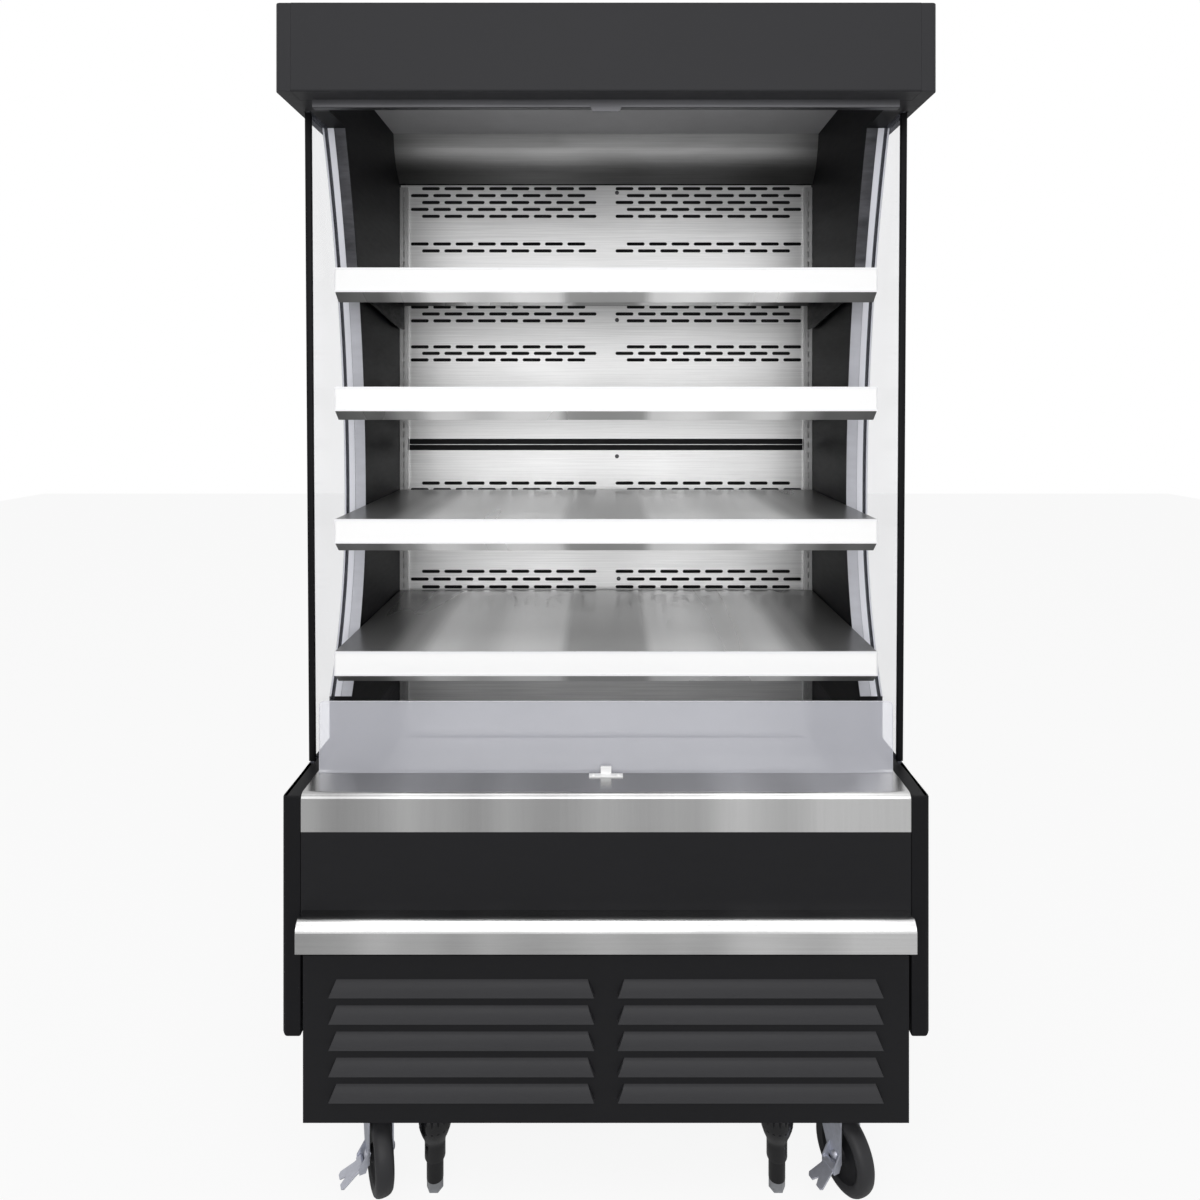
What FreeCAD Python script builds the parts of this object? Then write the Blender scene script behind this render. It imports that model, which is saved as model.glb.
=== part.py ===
import FreeCAD, Part
import math
import os

from FreeCAD import Vector

# Open multideck display fridge. Millimetres, +Z up, front towards -Y, origin on the floor under the
# middle of the cabinet. A "level" is a height above the floor and a "depth" is measured back from the
# front plane of the cabinet.

# ---------------------------------------------------------------- cabinet
BODY_WIDTH = 1100.0
CABINET_DEPTH = 740.0
OVERALL_HEIGHT = 2050.0
GROUND_CLEARANCE = 150.0
SIDE_WALL = 45.0
REAR_WALL = 50.0
ROOF_THICKNESS = 20.0
FLAT_FIT = 0.3

# ---------------------------------------------------------------- canopy
CANOPY_HEIGHT = 150.0
CANOPY_OVERHANG = 12.0
CAP_WIDTH = 27.0
CAP_DEPTH = 101.5
CAP_ROUNDING = 9.0
FASCIA_GAUGE = 2.0
FASCIA_LIP = 44.0
PLENUM_DEPTH = 58.0
PLENUM_WIDTH = 42.0
PLENUM_SIDE_GAP = 3.8
HOOD_RECESS = 106.0
COWL_RUN = 58.0
COWL_BEND = 110.0
HONEYCOMB_HEIGHT = 18.0
HONEYCOMB_BAYS = 3
HONEYCOMB_ROWS = 2
HONEYCOMB_WEB = 4.0

# ---------------------------------------------------------------- side walls and glass
END_PANEL_TOP = 704.0
END_PANEL_BOTTOM = 296.0
END_PANEL_THICKNESS = 32.0
END_PANEL_ROUNDING = 9.0
WALL_HEAD_DEPTH = 200.0
WALL_HEAD_DROP = 3.0
WALL_WAIST = (338.0, 446.0)
WALL_FOOT = (242.0, 81.0)
GLASS_THICKNESS = 6.0
GLASS_INSET = 4.0
GLASS_BITE = 12.0
GLASS_SEAT = 8.0
GLASS_FRONT_TOP = 104.0
GLASS_FRONT_FOOT = 126.0

# ---------------------------------------------------------------- base and machine bay
BASE_INSET = 4.0
BASE_FRONT = 16.0
BASE_REAR_GAP = 5.0
BASE_PLATE = 3.0
CHASSIS_GAUGE = 1.5
CHASSIS_FLANGE = 40.0
RAIL_GAUGE = 3.0
TUB_UNDERSIDE = 450.0
PANEL_GAUGE = 1.5
LOUVER_PANEL_TOP = 434.0
LOUVER_COUNT = 5
LOUVER_PITCH = 44.3
LOUVER_FIRST = 190.6
LOUVER_HEIGHT = 26.0
LOUVER_DEPTH = 9.0
LOUVER_INNER = 20.0
LOUVER_MARGIN = 46.0
LOUVER_TAPER = 11.0
LOUVER_GAUGE = 1.5
REAR_VENT_ROWS = 5
REAR_VENT_PITCH = 40.0
REAR_VENT_SIZE = (380.0, 10.0)
INLET_PLACE = (84.0, 210.0)
INLET_FLANGE = (50.0, 36.0)
INLET_BODY = (36.0, 26.0, 20.0)
INLET_WALL = 3.0

# ---------------------------------------------------------------- tub, sill, riser and deck
TUB_FRONT = 20.0
TUB_FRONT_WALL = 30.0
TUB_FLOOR = 30.0
TUB_COVE = 14.0
SILL_TOP = 708.0
SILL_FACE = 65.0
SILL_RUN = 92.0
SILL_NOSE = 11.0
SILL_RETURN = 18.0
SILL_GAUGE = 1.5
RISER_DEPTH = 78.0
RISER_THICKNESS = 4.0
RISER_HEIGHT = 128.0
RISER_SEAT = 8.0
RISER_SIDE_GAP = 4.0
RISER_CORNER = 8.0
CHANNEL_WALL = 3.5
APRON_BOTTOM = 436.0
BUMPER_DEPTH = 35.0
BUMPER_BOTTOM = 459.0
BUMPER_HEIGHT = 52.0
BUMPER_SIDE_GAP = 3.0
BUMPER_CROWN = 20.0
DECK_TOP = 548.0
DECK_GAUGE = 1.5
DECK_RIB = (30.0, 12.0)
DECK_FINGER_SLOT = (70.0, 26.0)
DECK_SIDE_GAP = 1.5
LEDGE_WIDTH = 14.0
GRILLE_SLOTS = 16
GRILLE_SLOT_SIZE = (14.0, 96.0)
GRILLE_WINDOWS = 4
GRILLE_WINDOW_SIZE = (210.0, 44.0)

# ---------------------------------------------------------------- back panels and shelf standards
BACK_PLANE = 630.0
BACK_GAUGE = 1.2
BACK_FLANGE = 12.0
BACK_LAP = 1.0
BACK_HEIGHT_DRAWN = 1353.0
BACK_SEAM_RISE = 713.5
SEAM_GAP = 0.6
SLOT_HEIGHT = 8.0
SLOT_WEB = 11.0
SLOT_STAGGER = 27.5
SLOTS_PER_GROUP = 2
SLOT_GROUP_MARGIN = 25.0
SLOT_GROUP_INNER = 51.0
UPPER_OUTER_RISES = [1328.0, 1294.0, 1209.0, 1054.0, 1020.0, 956.0, 924.0]
UPPER_INNER_RISES = [1345.0, 1311.0, 1277.0, 1192.0, 1037.0, 940.0]
LOWER_OUTER_RISES = [605.0, 385.0]
LOWER_INNER_RISES = [621.0, 404.0, 366.0]
STANDARD_WIDTH = 20.0
STANDARD_DEPTH = 12.0
STANDARD_GAUGE = 2.0
STANDARD_TOP_GAP = 8.0
KEYHOLE_WIDTH = 4.0
KEYHOLE_HEIGHT = 13.5

# ---------------------------------------------------------------- shelves
SHELF_TOPS = [910.0, 1155.0, 1400.0, 1620.5]
SHELF_FRONT = 127.0
SHELF_SIDE_GAP = 3.0
SHELF_GAUGE = 1.5
SHELF_REAR_GAP = 18.0
SHELF_BEVEL = (19.0, 16.0)
SHELF_REAR_FLANGE = 18.0
SHELF_SIDE_FLANGE = 24.0
SHELF_BEND = 1.5
BRACKET_GAUGE = 3.0
BRACKET_ROOT = 75.0
BRACKET_TIP = 24.0
BRACKET_REACH = 440.0
HOOK_DROP = 20.0
HOOK_HEIGHT = 10.0
HOOK_LENGTH = 8.3
HOOK_LIP = 3.0
HOOK_LIP_LENGTH = 4.8
HOOK_CLEARANCE = 0.5
STRIP_HEIGHT = 45.0
STRIP_DEPTH = 4.0
STRIP_WALL = 1.5
STRIP_LIP = 3.5

# ---------------------------------------------------------------- night curtain
ROLLER_DEPTH = 27.0
ROLLER_LEVEL_DROP = 72.0
ROLLER_RADIUS = 8.0
CLOTH_ROLL_RADIUS = 19.8
CLOTH_SIDE_GAP = 5.0
PIN_FIT = 0.06
BRACKET_EAR = 2.0
BEARING_SIDES = 12
EAR_OUTSET = 5.0
BAR_SIDE_GAP = 6.0
BAR_SECTION = (16.0, 14.0)
BAR_ROUNDING = 3.0
BAR_GRIP = (60.0, 7.0)
CATCH_BASE = (60.0, 13.0, 2.0)
CATCH_TAB = (19.0, 2.5, 17.0)
CATCH_LIP = 4.5
CATCH_DEPTH = 60.0

# ---------------------------------------------------------------- refrigeration
COIL_THICKNESS = 44.0
CONDENSER_SIZE = (400.0, 262.0)
CONDENSER_MARGIN = 44.0
CONDENSER_DEPTH = 54.0
CONDENSER_FINS = 7
EVAPORATOR_SIDE_GAP = 75.0
EVAPORATOR_HEIGHT = 280.0
EVAPORATOR_FINS = 8
EVAPORATOR_BOTTOM = 570.0
FIN_GAP_SHARE = 0.6
FIN_GROOVE = 16.0
END_PLATE = 2.0
FAN_RADIUS = 112.0
FAN_TIP_GAP = 5.0
FAN_BLADES = 5
FAN_HUB_RADIUS = 30.0
FAN_HUB_LENGTH = 26.0
FAN_HUB_SIDES = 10
FAN_SETBACK = 4.0
FAN_ROOT_CHORD = 30.0
FAN_TIP_CHORD = 84.0
FAN_PITCH = 20.0
FAN_BLADE_GAUGE = 2.0
SHROUD_DEPTH = 34.0
SHROUD_GAUGE = 1.5
MOUTH_SIDES = 28
MOTOR_RADIUS = 34.0
MOTOR_LENGTH = 60.0
MOTOR_SIDES = 16
SPIDER_GAUGE = 6.0
SPIDER_LAP = 12.0
SHAFT_SEAT = 8.0
SHAFT_RADIUS = 4.0
COMPRESSOR_PLACE = (150.0, 330.0)
COMPRESSOR_RADIUS = 82.0
COMPRESSOR_SIDES = 22
COMPRESSOR_HEIGHT = 176.0
COMPRESSOR_FOOT = (220.0, 170.0, 4.0)
TERMINAL_COVER = (26.0, 56.0, 70.0)
TERMINAL_RISE = 50.0
GROMMET_HEIGHT = 14.0
GROMMET_SIZE = 22.0
PIPE_RADIUS = 6.0
PIPE_SIDES = 8
PIPE_STANDOFF = 60.0
DRAIN_PAN = (360.0, 150.0, 40.0)
DRAIN_PAN_PLACE = (-250.0, 620.0)
PAN_GAUGE = 1.5
ELECTRICAL_BOX = (150.0, 130.0, 150.0)
ELECTRICAL_BOX_PLACE = (114.0, 130.0)
BOX_LID = 3.0
BLOWER_SIDE_GAP = 125.0
BLOWER_DEPTH = 574.0
BLOWER_RISE = 33.0
BLOWER_RADIUS = 24.0
BLOWER_BLADES = 8
BLOWER_BLADE_DEPTH = 6.0
BLOWER_BLADE_GAUGE = 1.0
BLOWER_DISC = 2.0
BLOWER_DISC_SIDES = 16
BLOWER_GAP = 2.5
SCROLL_GAUGE = 1.2
SCROLL_GROWTH = 3.0
SCROLL_OUTLET = 26.0
BLOWER_MOTOR_RADIUS = 26.0
BLOWER_MOTOR_LENGTH = 44.0

# ---------------------------------------------------------------- casters and levelling feet
CASTER_INSET = 107.0
CASTER_FRONT_DEPTH = 68.0
CASTER_REAR_INSET = 80.0
CASTER_YAW = 25.0
CASTER_TRAIL = 25.0
WHEEL_RADIUS = 63.5
WHEEL_WIDTH = 32.0
WHEEL_SIDES = 36
FORK_GAP = 3.0
FORK_GAUGE = 3.0
FORK_CROWN_GAP = 3.0
FORK_EYE = 15.0
RACE_RADIUS = 28.0
CASTER_PLATE = (96.0, 84.0, 4.0)
AXLE_RADIUS = 5.0
AXLE_FIT = 0.06
PEDAL_DROP = 12.0
PEDAL_PIN = 3.0
PEDAL_BARREL = 5.5
PEDAL_BARREL_LENGTH = 26.0
PEDAL_EAR = 3.0
PEDAL_STANDOFF = 9.0
PEDAL_LENGTH = 40.0
PEDAL_WIDTH = 36.0
PEDAL_GAUGE = 3.0
PEDAL_SLOPE = 28.0
LEG_INSET = 215.0
LEG_DEPTH = 45.0
SOCKET_FLANGE_RADIUS = 28.0
SOCKET_RADIUS = 17.5
SOCKET_FLANGE_LEVEL = 112.0
SOCKET_NECK_LEVEL = 84.0
SOCKET_LEVEL = 54.0
SOCKET_SIDES = 16
FOOT_TUBE_RADIUS = 14.5
FOOT_FIT = 0.3
FOOT_TOP = 124.0
FOOT_HEX_FLATS = 25.0
FOOT_HEX_HEIGHT = 17.0
SOCKET_ROOF = 6.0

# ---------------------------------------------------------------- derived places
HALF = BODY_WIDTH / 2
LINER_HALF = HALF - SIDE_WALL
LOWER_HALF = HALF - END_PANEL_THICKNESS
BASE_HALF = LOWER_HALF - BASE_INSET
RISER_HALF = LOWER_HALF - RISER_SIDE_GAP
BUMPER_HALF = LOWER_HALF - BUMPER_SIDE_GAP
BAR_HALF = LOWER_HALF - BAR_SIDE_GAP
PLENUM_HALF = LINER_HALF - PLENUM_SIDE_GAP
SHELF_HALF = LINER_HALF - SHELF_SIDE_GAP
CLOTH_HALF = LINER_HALF - CLOTH_SIDE_GAP
BRACKET_EAR_PLACE = LINER_HALF + EAR_OUTSET
LOUVER_OUTER = BASE_HALF - LOUVER_MARGIN
CASTER_PLACE = BASE_HALF - CASTER_INSET
LEG_PLACE = BASE_HALF - LEG_INSET
CONDENSER_LEFT = CONDENSER_MARGIN - BASE_HALF
EVAPORATOR_HALF = LINER_HALF - EVAPORATOR_SIDE_GAP
BLOWER_HALF = LINER_HALF - BLOWER_SIDE_GAP
FRONT = BUMPER_DEPTH - (CABINET_DEPTH + BUMPER_DEPTH) / 2
BACK = FRONT + CABINET_DEPTH
CANOPY_BOTTOM = OVERALL_HEIGHT - CANOPY_HEIGHT
ROOF_UNDERSIDE = OVERALL_HEIGHT - ROOF_THICKNESS
CANOPY_HALF = HALF + CANOPY_OVERHANG
FASCIA_HALF = CANOPY_HALF - CAP_WIDTH
WALL_HEAD_LEVEL = CANOPY_BOTTOM + WALL_HEAD_DROP
CEILING = WALL_HEAD_LEVEL + HOOD_RECESS - WALL_HEAD_DROP
BACK_TOP = CANOPY_BOTTOM + BACK_LAP
BACK_SCALE = (BACK_TOP - DECK_TOP) / BACK_HEIGHT_DRAWN
BACK_SEAM = DECK_TOP + BACK_SEAM_RISE * BACK_SCALE
SLOT_GROUP_OUTER = LINER_HALF - SLOT_GROUP_MARGIN
SLOT_PITCH = (SLOT_GROUP_OUTER - SLOT_GROUP_INNER + SLOT_WEB) / SLOTS_PER_GROUP
SLOT_LENGTH = SLOT_PITCH - SLOT_WEB
TUB_INSIDE = TUB_UNDERSIDE + TUB_FLOOR
BASE_REAR = CABINET_DEPTH - BASE_REAR_GAP
BASE_TOP_OF_PLATE = GROUND_CLEARANCE + BASE_PLATE
REAR_WALL_FACE = BACK - REAR_WALL
GRILLE_DEPTH = SILL_RUN + FLAT_FIT
STANDARD_OUTER = LINER_HALF - 1.0
STANDARD_FACE = BACK_PLANE - STANDARD_DEPTH
BRACKET_PLACE = STANDARD_OUTER - STANDARD_WIDTH / 2
SHELF_BACK = BACK_PLANE - SHELF_REAR_GAP
COWL_FOOT = STANDARD_FACE
COWL_HEAD = COWL_FOOT - COWL_RUN
BAR_TOP = CANOPY_BOTTOM - FLAT_FIT
CURTAIN_DEPTH = ROLLER_DEPTH + CLOTH_ROLL_RADIUS
ROLLER_LEVEL = CANOPY_BOTTOM + ROLLER_LEVEL_DROP
BLOWER_LEVEL = TUB_INSIDE + BLOWER_RISE
FORK_HALF = WHEEL_WIDTH / 2 + FORK_GAP
FORK_CROWN = 2 * WHEEL_RADIUS + FORK_CROWN_GAP + FORK_GAUGE
CASTER_PLATE_LEVEL = GROUND_CLEARANCE - CASTER_PLATE[2]


def at(depth):
    """Y of a place that lies this far behind the cabinet's front plane."""
    return FRONT + depth


# ---------------------------------------------------------------- shape helpers
def block(x0, x1, y0, y1, z0, z1):
    """Straight-sided block between two corners."""
    return Part.makeBox(x1 - x0, y1 - y0, z1 - z0, Vector(x0, y0, z0))


def joined(shapes):
    """One solid from shapes that touch or overlap."""
    return shapes[0].multiFuse(shapes[1:]).removeSplitter()


def less(shape, cutters):
    """Shape with all cutters taken away."""
    return shape.cut(Part.makeCompound(cutters))


def mirrored(shape):
    """The same piece for the other side of the cabinet."""
    return shape.mirror(Vector(0, 0, 0), Vector(1, 0, 0))


def rounded_corner(before, corner, after, radius):
    """Start, middle and end of the arc that rounds one corner of an outline."""
    back_length = math.dist(before, corner)
    on_length = math.dist(after, corner)
    back = ((before[0] - corner[0]) / back_length, (before[1] - corner[1]) / back_length)
    onward = ((after[0] - corner[0]) / on_length, (after[1] - corner[1]) / on_length)
    half_angle = math.acos(back[0] * onward[0] + back[1] * onward[1]) / 2
    setback = radius / math.tan(half_angle)
    middle_length = math.hypot(back[0] + onward[0], back[1] + onward[1])
    inward = ((back[0] + onward[0]) / middle_length, (back[1] + onward[1]) / middle_length)
    reach = radius / math.sin(half_angle) - radius
    start = (corner[0] + back[0] * setback, corner[1] + back[1] * setback)
    middle = (corner[0] + inward[0] * reach, corner[1] + inward[1] * reach)
    finish = (corner[0] + onward[0] * setback, corner[1] + onward[1] * setback)
    return [start, middle, finish]


def outline_face(points, place):
    """Flat face inside a closed outline. A third value on a point is that corner's radius."""
    stretches = []
    for i, point in enumerate(points):
        corner = point[:2]
        radius = point[2] if len(point) > 2 else 0.0
        if radius > 0:
            after = points[(i + 1) % len(points)][:2]
            stretches.append(rounded_corner(points[i - 1][:2], corner, after, radius))
        else:
            stretches.append([corner])
    edges = []
    for i, stretch in enumerate(stretches):
        if len(stretch) == 3:
            edges.append(Part.Arc(*(place(*spot) for spot in stretch)).toShape())
        leave = place(*stretch[-1])
        arrive = place(*stretches[(i + 1) % len(stretches)][0])
        if leave.distanceToPoint(arrive) > 1e-6:
            edges.append(Part.LineSegment(leave, arrive).toShape())
    return Part.Face(Part.Wire(edges))


def along_x(points, x0, x1):
    """Outline in (y, z) run from x0 to x1."""
    return outline_face(points, lambda y, z: Vector(x0, y, z)).extrude(Vector(x1 - x0, 0, 0))


def along_y(points, y0, y1):
    """Outline in (x, z) run from y0 to y1."""
    return outline_face(points, lambda x, z: Vector(x, y0, z)).extrude(Vector(0, y1 - y0, 0))


def along_z(points, z0, z1):
    """Outline in (x, y) run from z0 to z1."""
    return outline_face(points, lambda x, y: Vector(x, y, z0)).extrude(Vector(0, 0, z1 - z0))


def bent_sheet(path, gauge, x0, x1):
    """Folded sheet along X. The path is one face of the sheet, and its gauge lies to the left.

    A third value on a path point is the inside radius of that fold."""
    near = []
    far = []
    for i, point in enumerate(path):
        y, z = point[:2]
        bend = point[2] if len(point) > 2 else 0.0
        headings = []
        for start, finish in zip(path[max(i - 1, 0):i + 1], path[max(i - 1, 0) + 1:i + 2]):
            length = math.dist(start[:2], finish[:2])
            headings.append(((finish[0] - start[0]) / length, (finish[1] - start[1]) / length))
        first = headings[0]
        last = headings[-1]
        share = 1 + first[0] * last[0] + first[1] * last[1]
        offset = (-(first[1] + last[1]) / share * gauge, (first[0] + last[0]) / share * gauge)
        turns_left = first[0] * last[1] - first[1] * last[0] > 0
        near_radius = 0.0
        far_radius = 0.0
        if bend > 0 and turns_left:
            near_radius = bend + gauge
            far_radius = bend
        elif bend > 0:
            near_radius = bend
            far_radius = bend + gauge
        near.append((y, z, near_radius))
        far.append((y + offset[0], z + offset[1], far_radius))
    return along_x(near + far[::-1], x0, x1)


def ring_points(radius, sides):
    """Corners of a regular outline round (0, 0), starting straight below it."""
    turns = [2 * math.pi * i / sides - math.pi / 2 for i in range(sides)]
    return [(radius * math.cos(turn), radius * math.sin(turn)) for turn in turns]


# ---------------------------------------------------------------- base
def caster_places():
    """Name, X and Y of each caster's swivel axis."""
    front = at(CASTER_FRONT_DEPTH)
    rear = BACK - CASTER_REAR_INSET
    return [
        ("front_left", -CASTER_PLACE, front),
        ("front_right", CASTER_PLACE, front),
        ("rear_left", -CASTER_PLACE, rear),
        ("rear_right", CASTER_PLACE, rear),
    ]


def chassis_side():
    """Right side sheet of the chassis, flanged at its front and rear."""
    flange_start = BASE_HALF - CHASSIS_FLANGE
    front = at(BASE_FRONT)
    rear = at(BASE_REAR)
    section = [
        (flange_start, front),
        (BASE_HALF, front),
        (BASE_HALF, rear),
        (flange_start, rear),
        (flange_start, rear - CHASSIS_GAUGE),
        (BASE_HALF - CHASSIS_GAUGE, rear - CHASSIS_GAUGE),
        (BASE_HALF - CHASSIS_GAUGE, front + CHASSIS_GAUGE),
        (flange_start, front + CHASSIS_GAUGE),
    ]
    return along_z(section, BASE_TOP_OF_PLATE, TUB_UNDERSIDE)


def base_frame():
    """Chassis: floor plate with caster races and foot sockets, flanged sides and two top rails."""
    front = at(BASE_FRONT)
    rear = at(BASE_REAR)
    floor = [block(-BASE_HALF, BASE_HALF, front, rear, GROUND_CLEARANCE, BASE_TOP_OF_PLATE)]
    half_length = CASTER_PLATE[0] / 2
    half_width = CASTER_PLATE[1] / 2
    race_bottom = FORK_CROWN + FLAT_FIT
    for _, x, y in caster_places():
        span = (x - half_length, x + half_length, y - half_width, y + half_width)
        floor.append(block(*span, CASTER_PLATE_LEVEL, GROUND_CLEARANCE))
        race = Part.makeCylinder(RACE_RADIUS, CASTER_PLATE_LEVEL - race_bottom, Vector(x, y, race_bottom))
        floor.append(race)
    floor += [leg_socket(-1), leg_socket(1)]
    rail_half = BASE_HALF - CHASSIS_GAUGE
    rail_bottom = TUB_UNDERSIDE - RAIL_GAUGE
    inner_front = front + CHASSIS_GAUGE
    inner_rear = rear - CHASSIS_GAUGE
    rails = [
        block(-rail_half, rail_half, inner_front, inner_front + CHASSIS_FLANGE, rail_bottom, TUB_UNDERSIDE),
        block(-rail_half, rail_half, inner_rear - CHASSIS_FLANGE, inner_rear, rail_bottom, TUB_UNDERSIDE),
    ]
    side = chassis_side()
    return Part.makeCompound([joined(floor), mirrored(side), side] + rails)


def hood_body(x0, x1, bottom, height, depth, taper):
    """Quarter-round body of one louvre, with its ends tapered towards the top."""
    foot = Vector(x0, FRONT, bottom)
    lip = Vector(x0, FRONT - depth, bottom)
    head = Vector(x0, FRONT, bottom + height)
    crown = Vector(x0, FRONT - depth * 0.8, bottom + height * 0.5)
    edges = [
        Part.LineSegment(foot, lip).toShape(),
        Part.Arc(lip, crown, head).toShape(),
        Part.LineSegment(head, foot).toShape(),
    ]
    bulge = Part.Face(Part.Wire(edges)).extrude(Vector(x1 - x0, 0, 0))
    return bulge.common(hood_outline(x0, x1, bottom, height, taper, FRONT - depth, FRONT))


def hood_outline(x0, x1, bottom, height, taper, y0, y1):
    """Front outline of one louvre, run from y0 to y1."""
    points = [
        (x0, bottom),
        (x1, bottom),
        (x1 - taper, bottom + height),
        (x0 + taper, bottom + height),
    ]
    return along_y(points, y0, y1)


def louver_panel():
    """Front cover of the machine bay: a tray with two columns of pressed louvres."""
    inside = FRONT + PANEL_GAUGE
    tray = block(-BASE_HALF, BASE_HALF, FRONT, at(BASE_FRONT), GROUND_CLEARANCE, LOUVER_PANEL_TOP)
    hollow = block(
        PANEL_GAUGE - BASE_HALF,
        BASE_HALF - PANEL_GAUGE,
        inside,
        at(BASE_FRONT),
        GROUND_CLEARANCE + PANEL_GAUGE,
        LOUVER_PANEL_TOP - PANEL_GAUGE,
    )
    hoods = []
    mouths = []
    for row in range(LOUVER_COUNT):
        bottom = LOUVER_FIRST + row * LOUVER_PITCH
        for x0, x1 in ((-LOUVER_OUTER, -LOUVER_INNER), (LOUVER_INNER, LOUVER_OUTER)):
            skin = hood_body(x0, x1, bottom, LOUVER_HEIGHT, LOUVER_DEPTH, LOUVER_TAPER)
            x2 = x0 + LOUVER_GAUGE
            x3 = x1 - LOUVER_GAUGE
            depth = LOUVER_DEPTH - LOUVER_GAUGE
            height = LOUVER_HEIGHT - LOUVER_GAUGE
            void = hood_body(x2, x3, bottom, height, depth, LOUVER_TAPER)
            hoods.append(skin.cut(void))
            mouths.append(hood_outline(x2, x3, bottom, height, LOUVER_TAPER, FRONT, inside))
    return joined([less(tray.cut(hollow), mouths)] + hoods)


def rear_grille():
    """Vented cover at the back of the machine bay, with the appliance inlet for the supply."""
    half = BASE_HALF - CHASSIS_GAUGE
    y0 = at(BASE_REAR)
    sheet = block(-half, half, y0, y0 + PANEL_GAUGE, BASE_TOP_OF_PLATE, TUB_UNDERSIDE)
    length, height = REAR_VENT_SIZE
    cutters = []
    middle = (BASE_TOP_OF_PLATE + TUB_UNDERSIDE) / 2
    for row in range(REAR_VENT_ROWS):
        level = middle + (row - (REAR_VENT_ROWS - 1) / 2) * REAR_VENT_PITCH
        x0 = LOUVER_INNER + PANEL_GAUGE - half
        cutters.append(block(x0, x0 + length, y0, y0 + PANEL_GAUGE, level, level + height))
    x = BASE_HALF - INLET_PLACE[0]
    z = INLET_PLACE[1]
    flange_x, flange_z = (side / 2 for side in INLET_FLANGE)
    body_x, body_z = (side / 2 for side in INLET_BODY[:2])
    body_front = y0 - INLET_BODY[2]
    flange = block(x - flange_x, x + flange_x, y0, BACK, z - flange_z, z + flange_z)
    body = block(x - body_x, x + body_x, body_front, y0, z - body_z, z + body_z)
    recess_x = body_x - INLET_WALL
    recess_z = body_z - INLET_WALL
    recess = block(x - recess_x, x + recess_x, body_front + INLET_WALL, BACK, z - recess_z, z + recess_z)
    return joined([less(sheet, cutters), flange, body]).cut(recess)


# ---------------------------------------------------------------- insulated body
def insulated_tub():
    """Moulded trough under the deck, with coved corners and the ledges that carry the deck."""
    front = at(TUB_FRONT)
    outer = block(-LOWER_HALF, LOWER_HALF, front, BACK, TUB_UNDERSIDE, END_PANEL_TOP)
    rim = block(
        -LOWER_HALF, LOWER_HALF, front, front + TUB_FRONT_WALL, END_PANEL_TOP, SILL_TOP - SILL_GAUGE
    )
    cavity_front = front + TUB_FRONT_WALL
    cavity = along_y(
        [
            (-LINER_HALF, TUB_INSIDE, TUB_COVE),
            (LINER_HALF, TUB_INSIDE, TUB_COVE),
            (LINER_HALF, SILL_TOP),
            (-LINER_HALF, SILL_TOP),
        ],
        cavity_front,
        REAR_WALL_FACE,
    )
    rear_notch = block(-LINER_HALF, LINER_HALF, REAR_WALL_FACE, BACK, TUB_UNDERSIDE, SILL_TOP)
    sill_notch = block(
        -LOWER_HALF,
        LOWER_HALF,
        cavity_front,
        at(SILL_RUN) + FLAT_FIT,
        SILL_TOP - SILL_RETURN - FLAT_FIT,
        SILL_TOP,
    )
    shell = less(outer.fuse(rim), [cavity, rear_notch, sill_notch])
    ledge_top = DECK_TOP - DECK_GAUGE
    ledge = along_y(
        [
            (LINER_HALF, ledge_top),
            (LINER_HALF - LEDGE_WIDTH, ledge_top),
            (LINER_HALF - LEDGE_WIDTH, ledge_top - 4.0),
            (LINER_HALF, ledge_top - LEDGE_WIDTH),
        ],
        at(GRILLE_DEPTH + LEDGE_WIDTH),
        at(STANDARD_FACE),
    )
    return joined([shell, ledge, mirrored(ledge)])


def end_panel():
    """Right lower side panel, with rounded lower and front corners and a groove for the glass."""
    front_view = [
        (LOWER_HALF, END_PANEL_BOTTOM),
        (HALF, END_PANEL_BOTTOM, END_PANEL_ROUNDING),
        (HALF, END_PANEL_TOP),
        (LOWER_HALF, END_PANEL_TOP),
    ]
    top_view = [
        (LOWER_HALF, FRONT),
        (HALF, FRONT, END_PANEL_ROUNDING),
        (HALF, BACK),
        (LOWER_HALF, BACK),
    ]
    panel = along_y(front_view, FRONT, BACK).common(along_z(top_view, END_PANEL_BOTTOM, END_PANEL_TOP))
    return panel.cut(glass_groove())


def waist_arc(x, waist, end):
    """Arc from the deepest point of the hollow, where it is upright, to one end of it."""
    run = waist.y - end.y
    rise = end.z - waist.z
    radius = (run * run + rise * rise) / (2 * run)
    half_angle = math.asin(abs(rise) / radius) / 2
    middle_y = waist.y - radius * (1 - math.cos(half_angle))
    middle_z = waist.z + math.copysign(radius * math.sin(half_angle), rise)
    return Part.Arc(waist, Vector(x, middle_y, middle_z), end).toShape()


def wall_edge(x, setback):
    """Hollow front edge of a side wall: two arcs that meet at its waist, and the ends of the edge."""
    head = Vector(x, at(WALL_HEAD_DEPTH + setback), WALL_HEAD_LEVEL)
    waist = Vector(x, at(WALL_WAIST[0] + setback), END_PANEL_TOP + WALL_WAIST[1])
    foot = Vector(x, at(WALL_FOOT[0] + setback), END_PANEL_TOP + WALL_FOOT[1])
    return [waist_arc(x, waist, head), waist_arc(x, waist, foot)], head, foot


def closed_face(edges, corners):
    """Face bounded by given edges, closed by straight lines through the corners."""
    lines = [Part.LineSegment(a, b).toShape() for a, b in zip(corners, corners[1:])]
    return Part.Face(Part.Wire(Part.__sortEdges__(edges + lines)))


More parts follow.
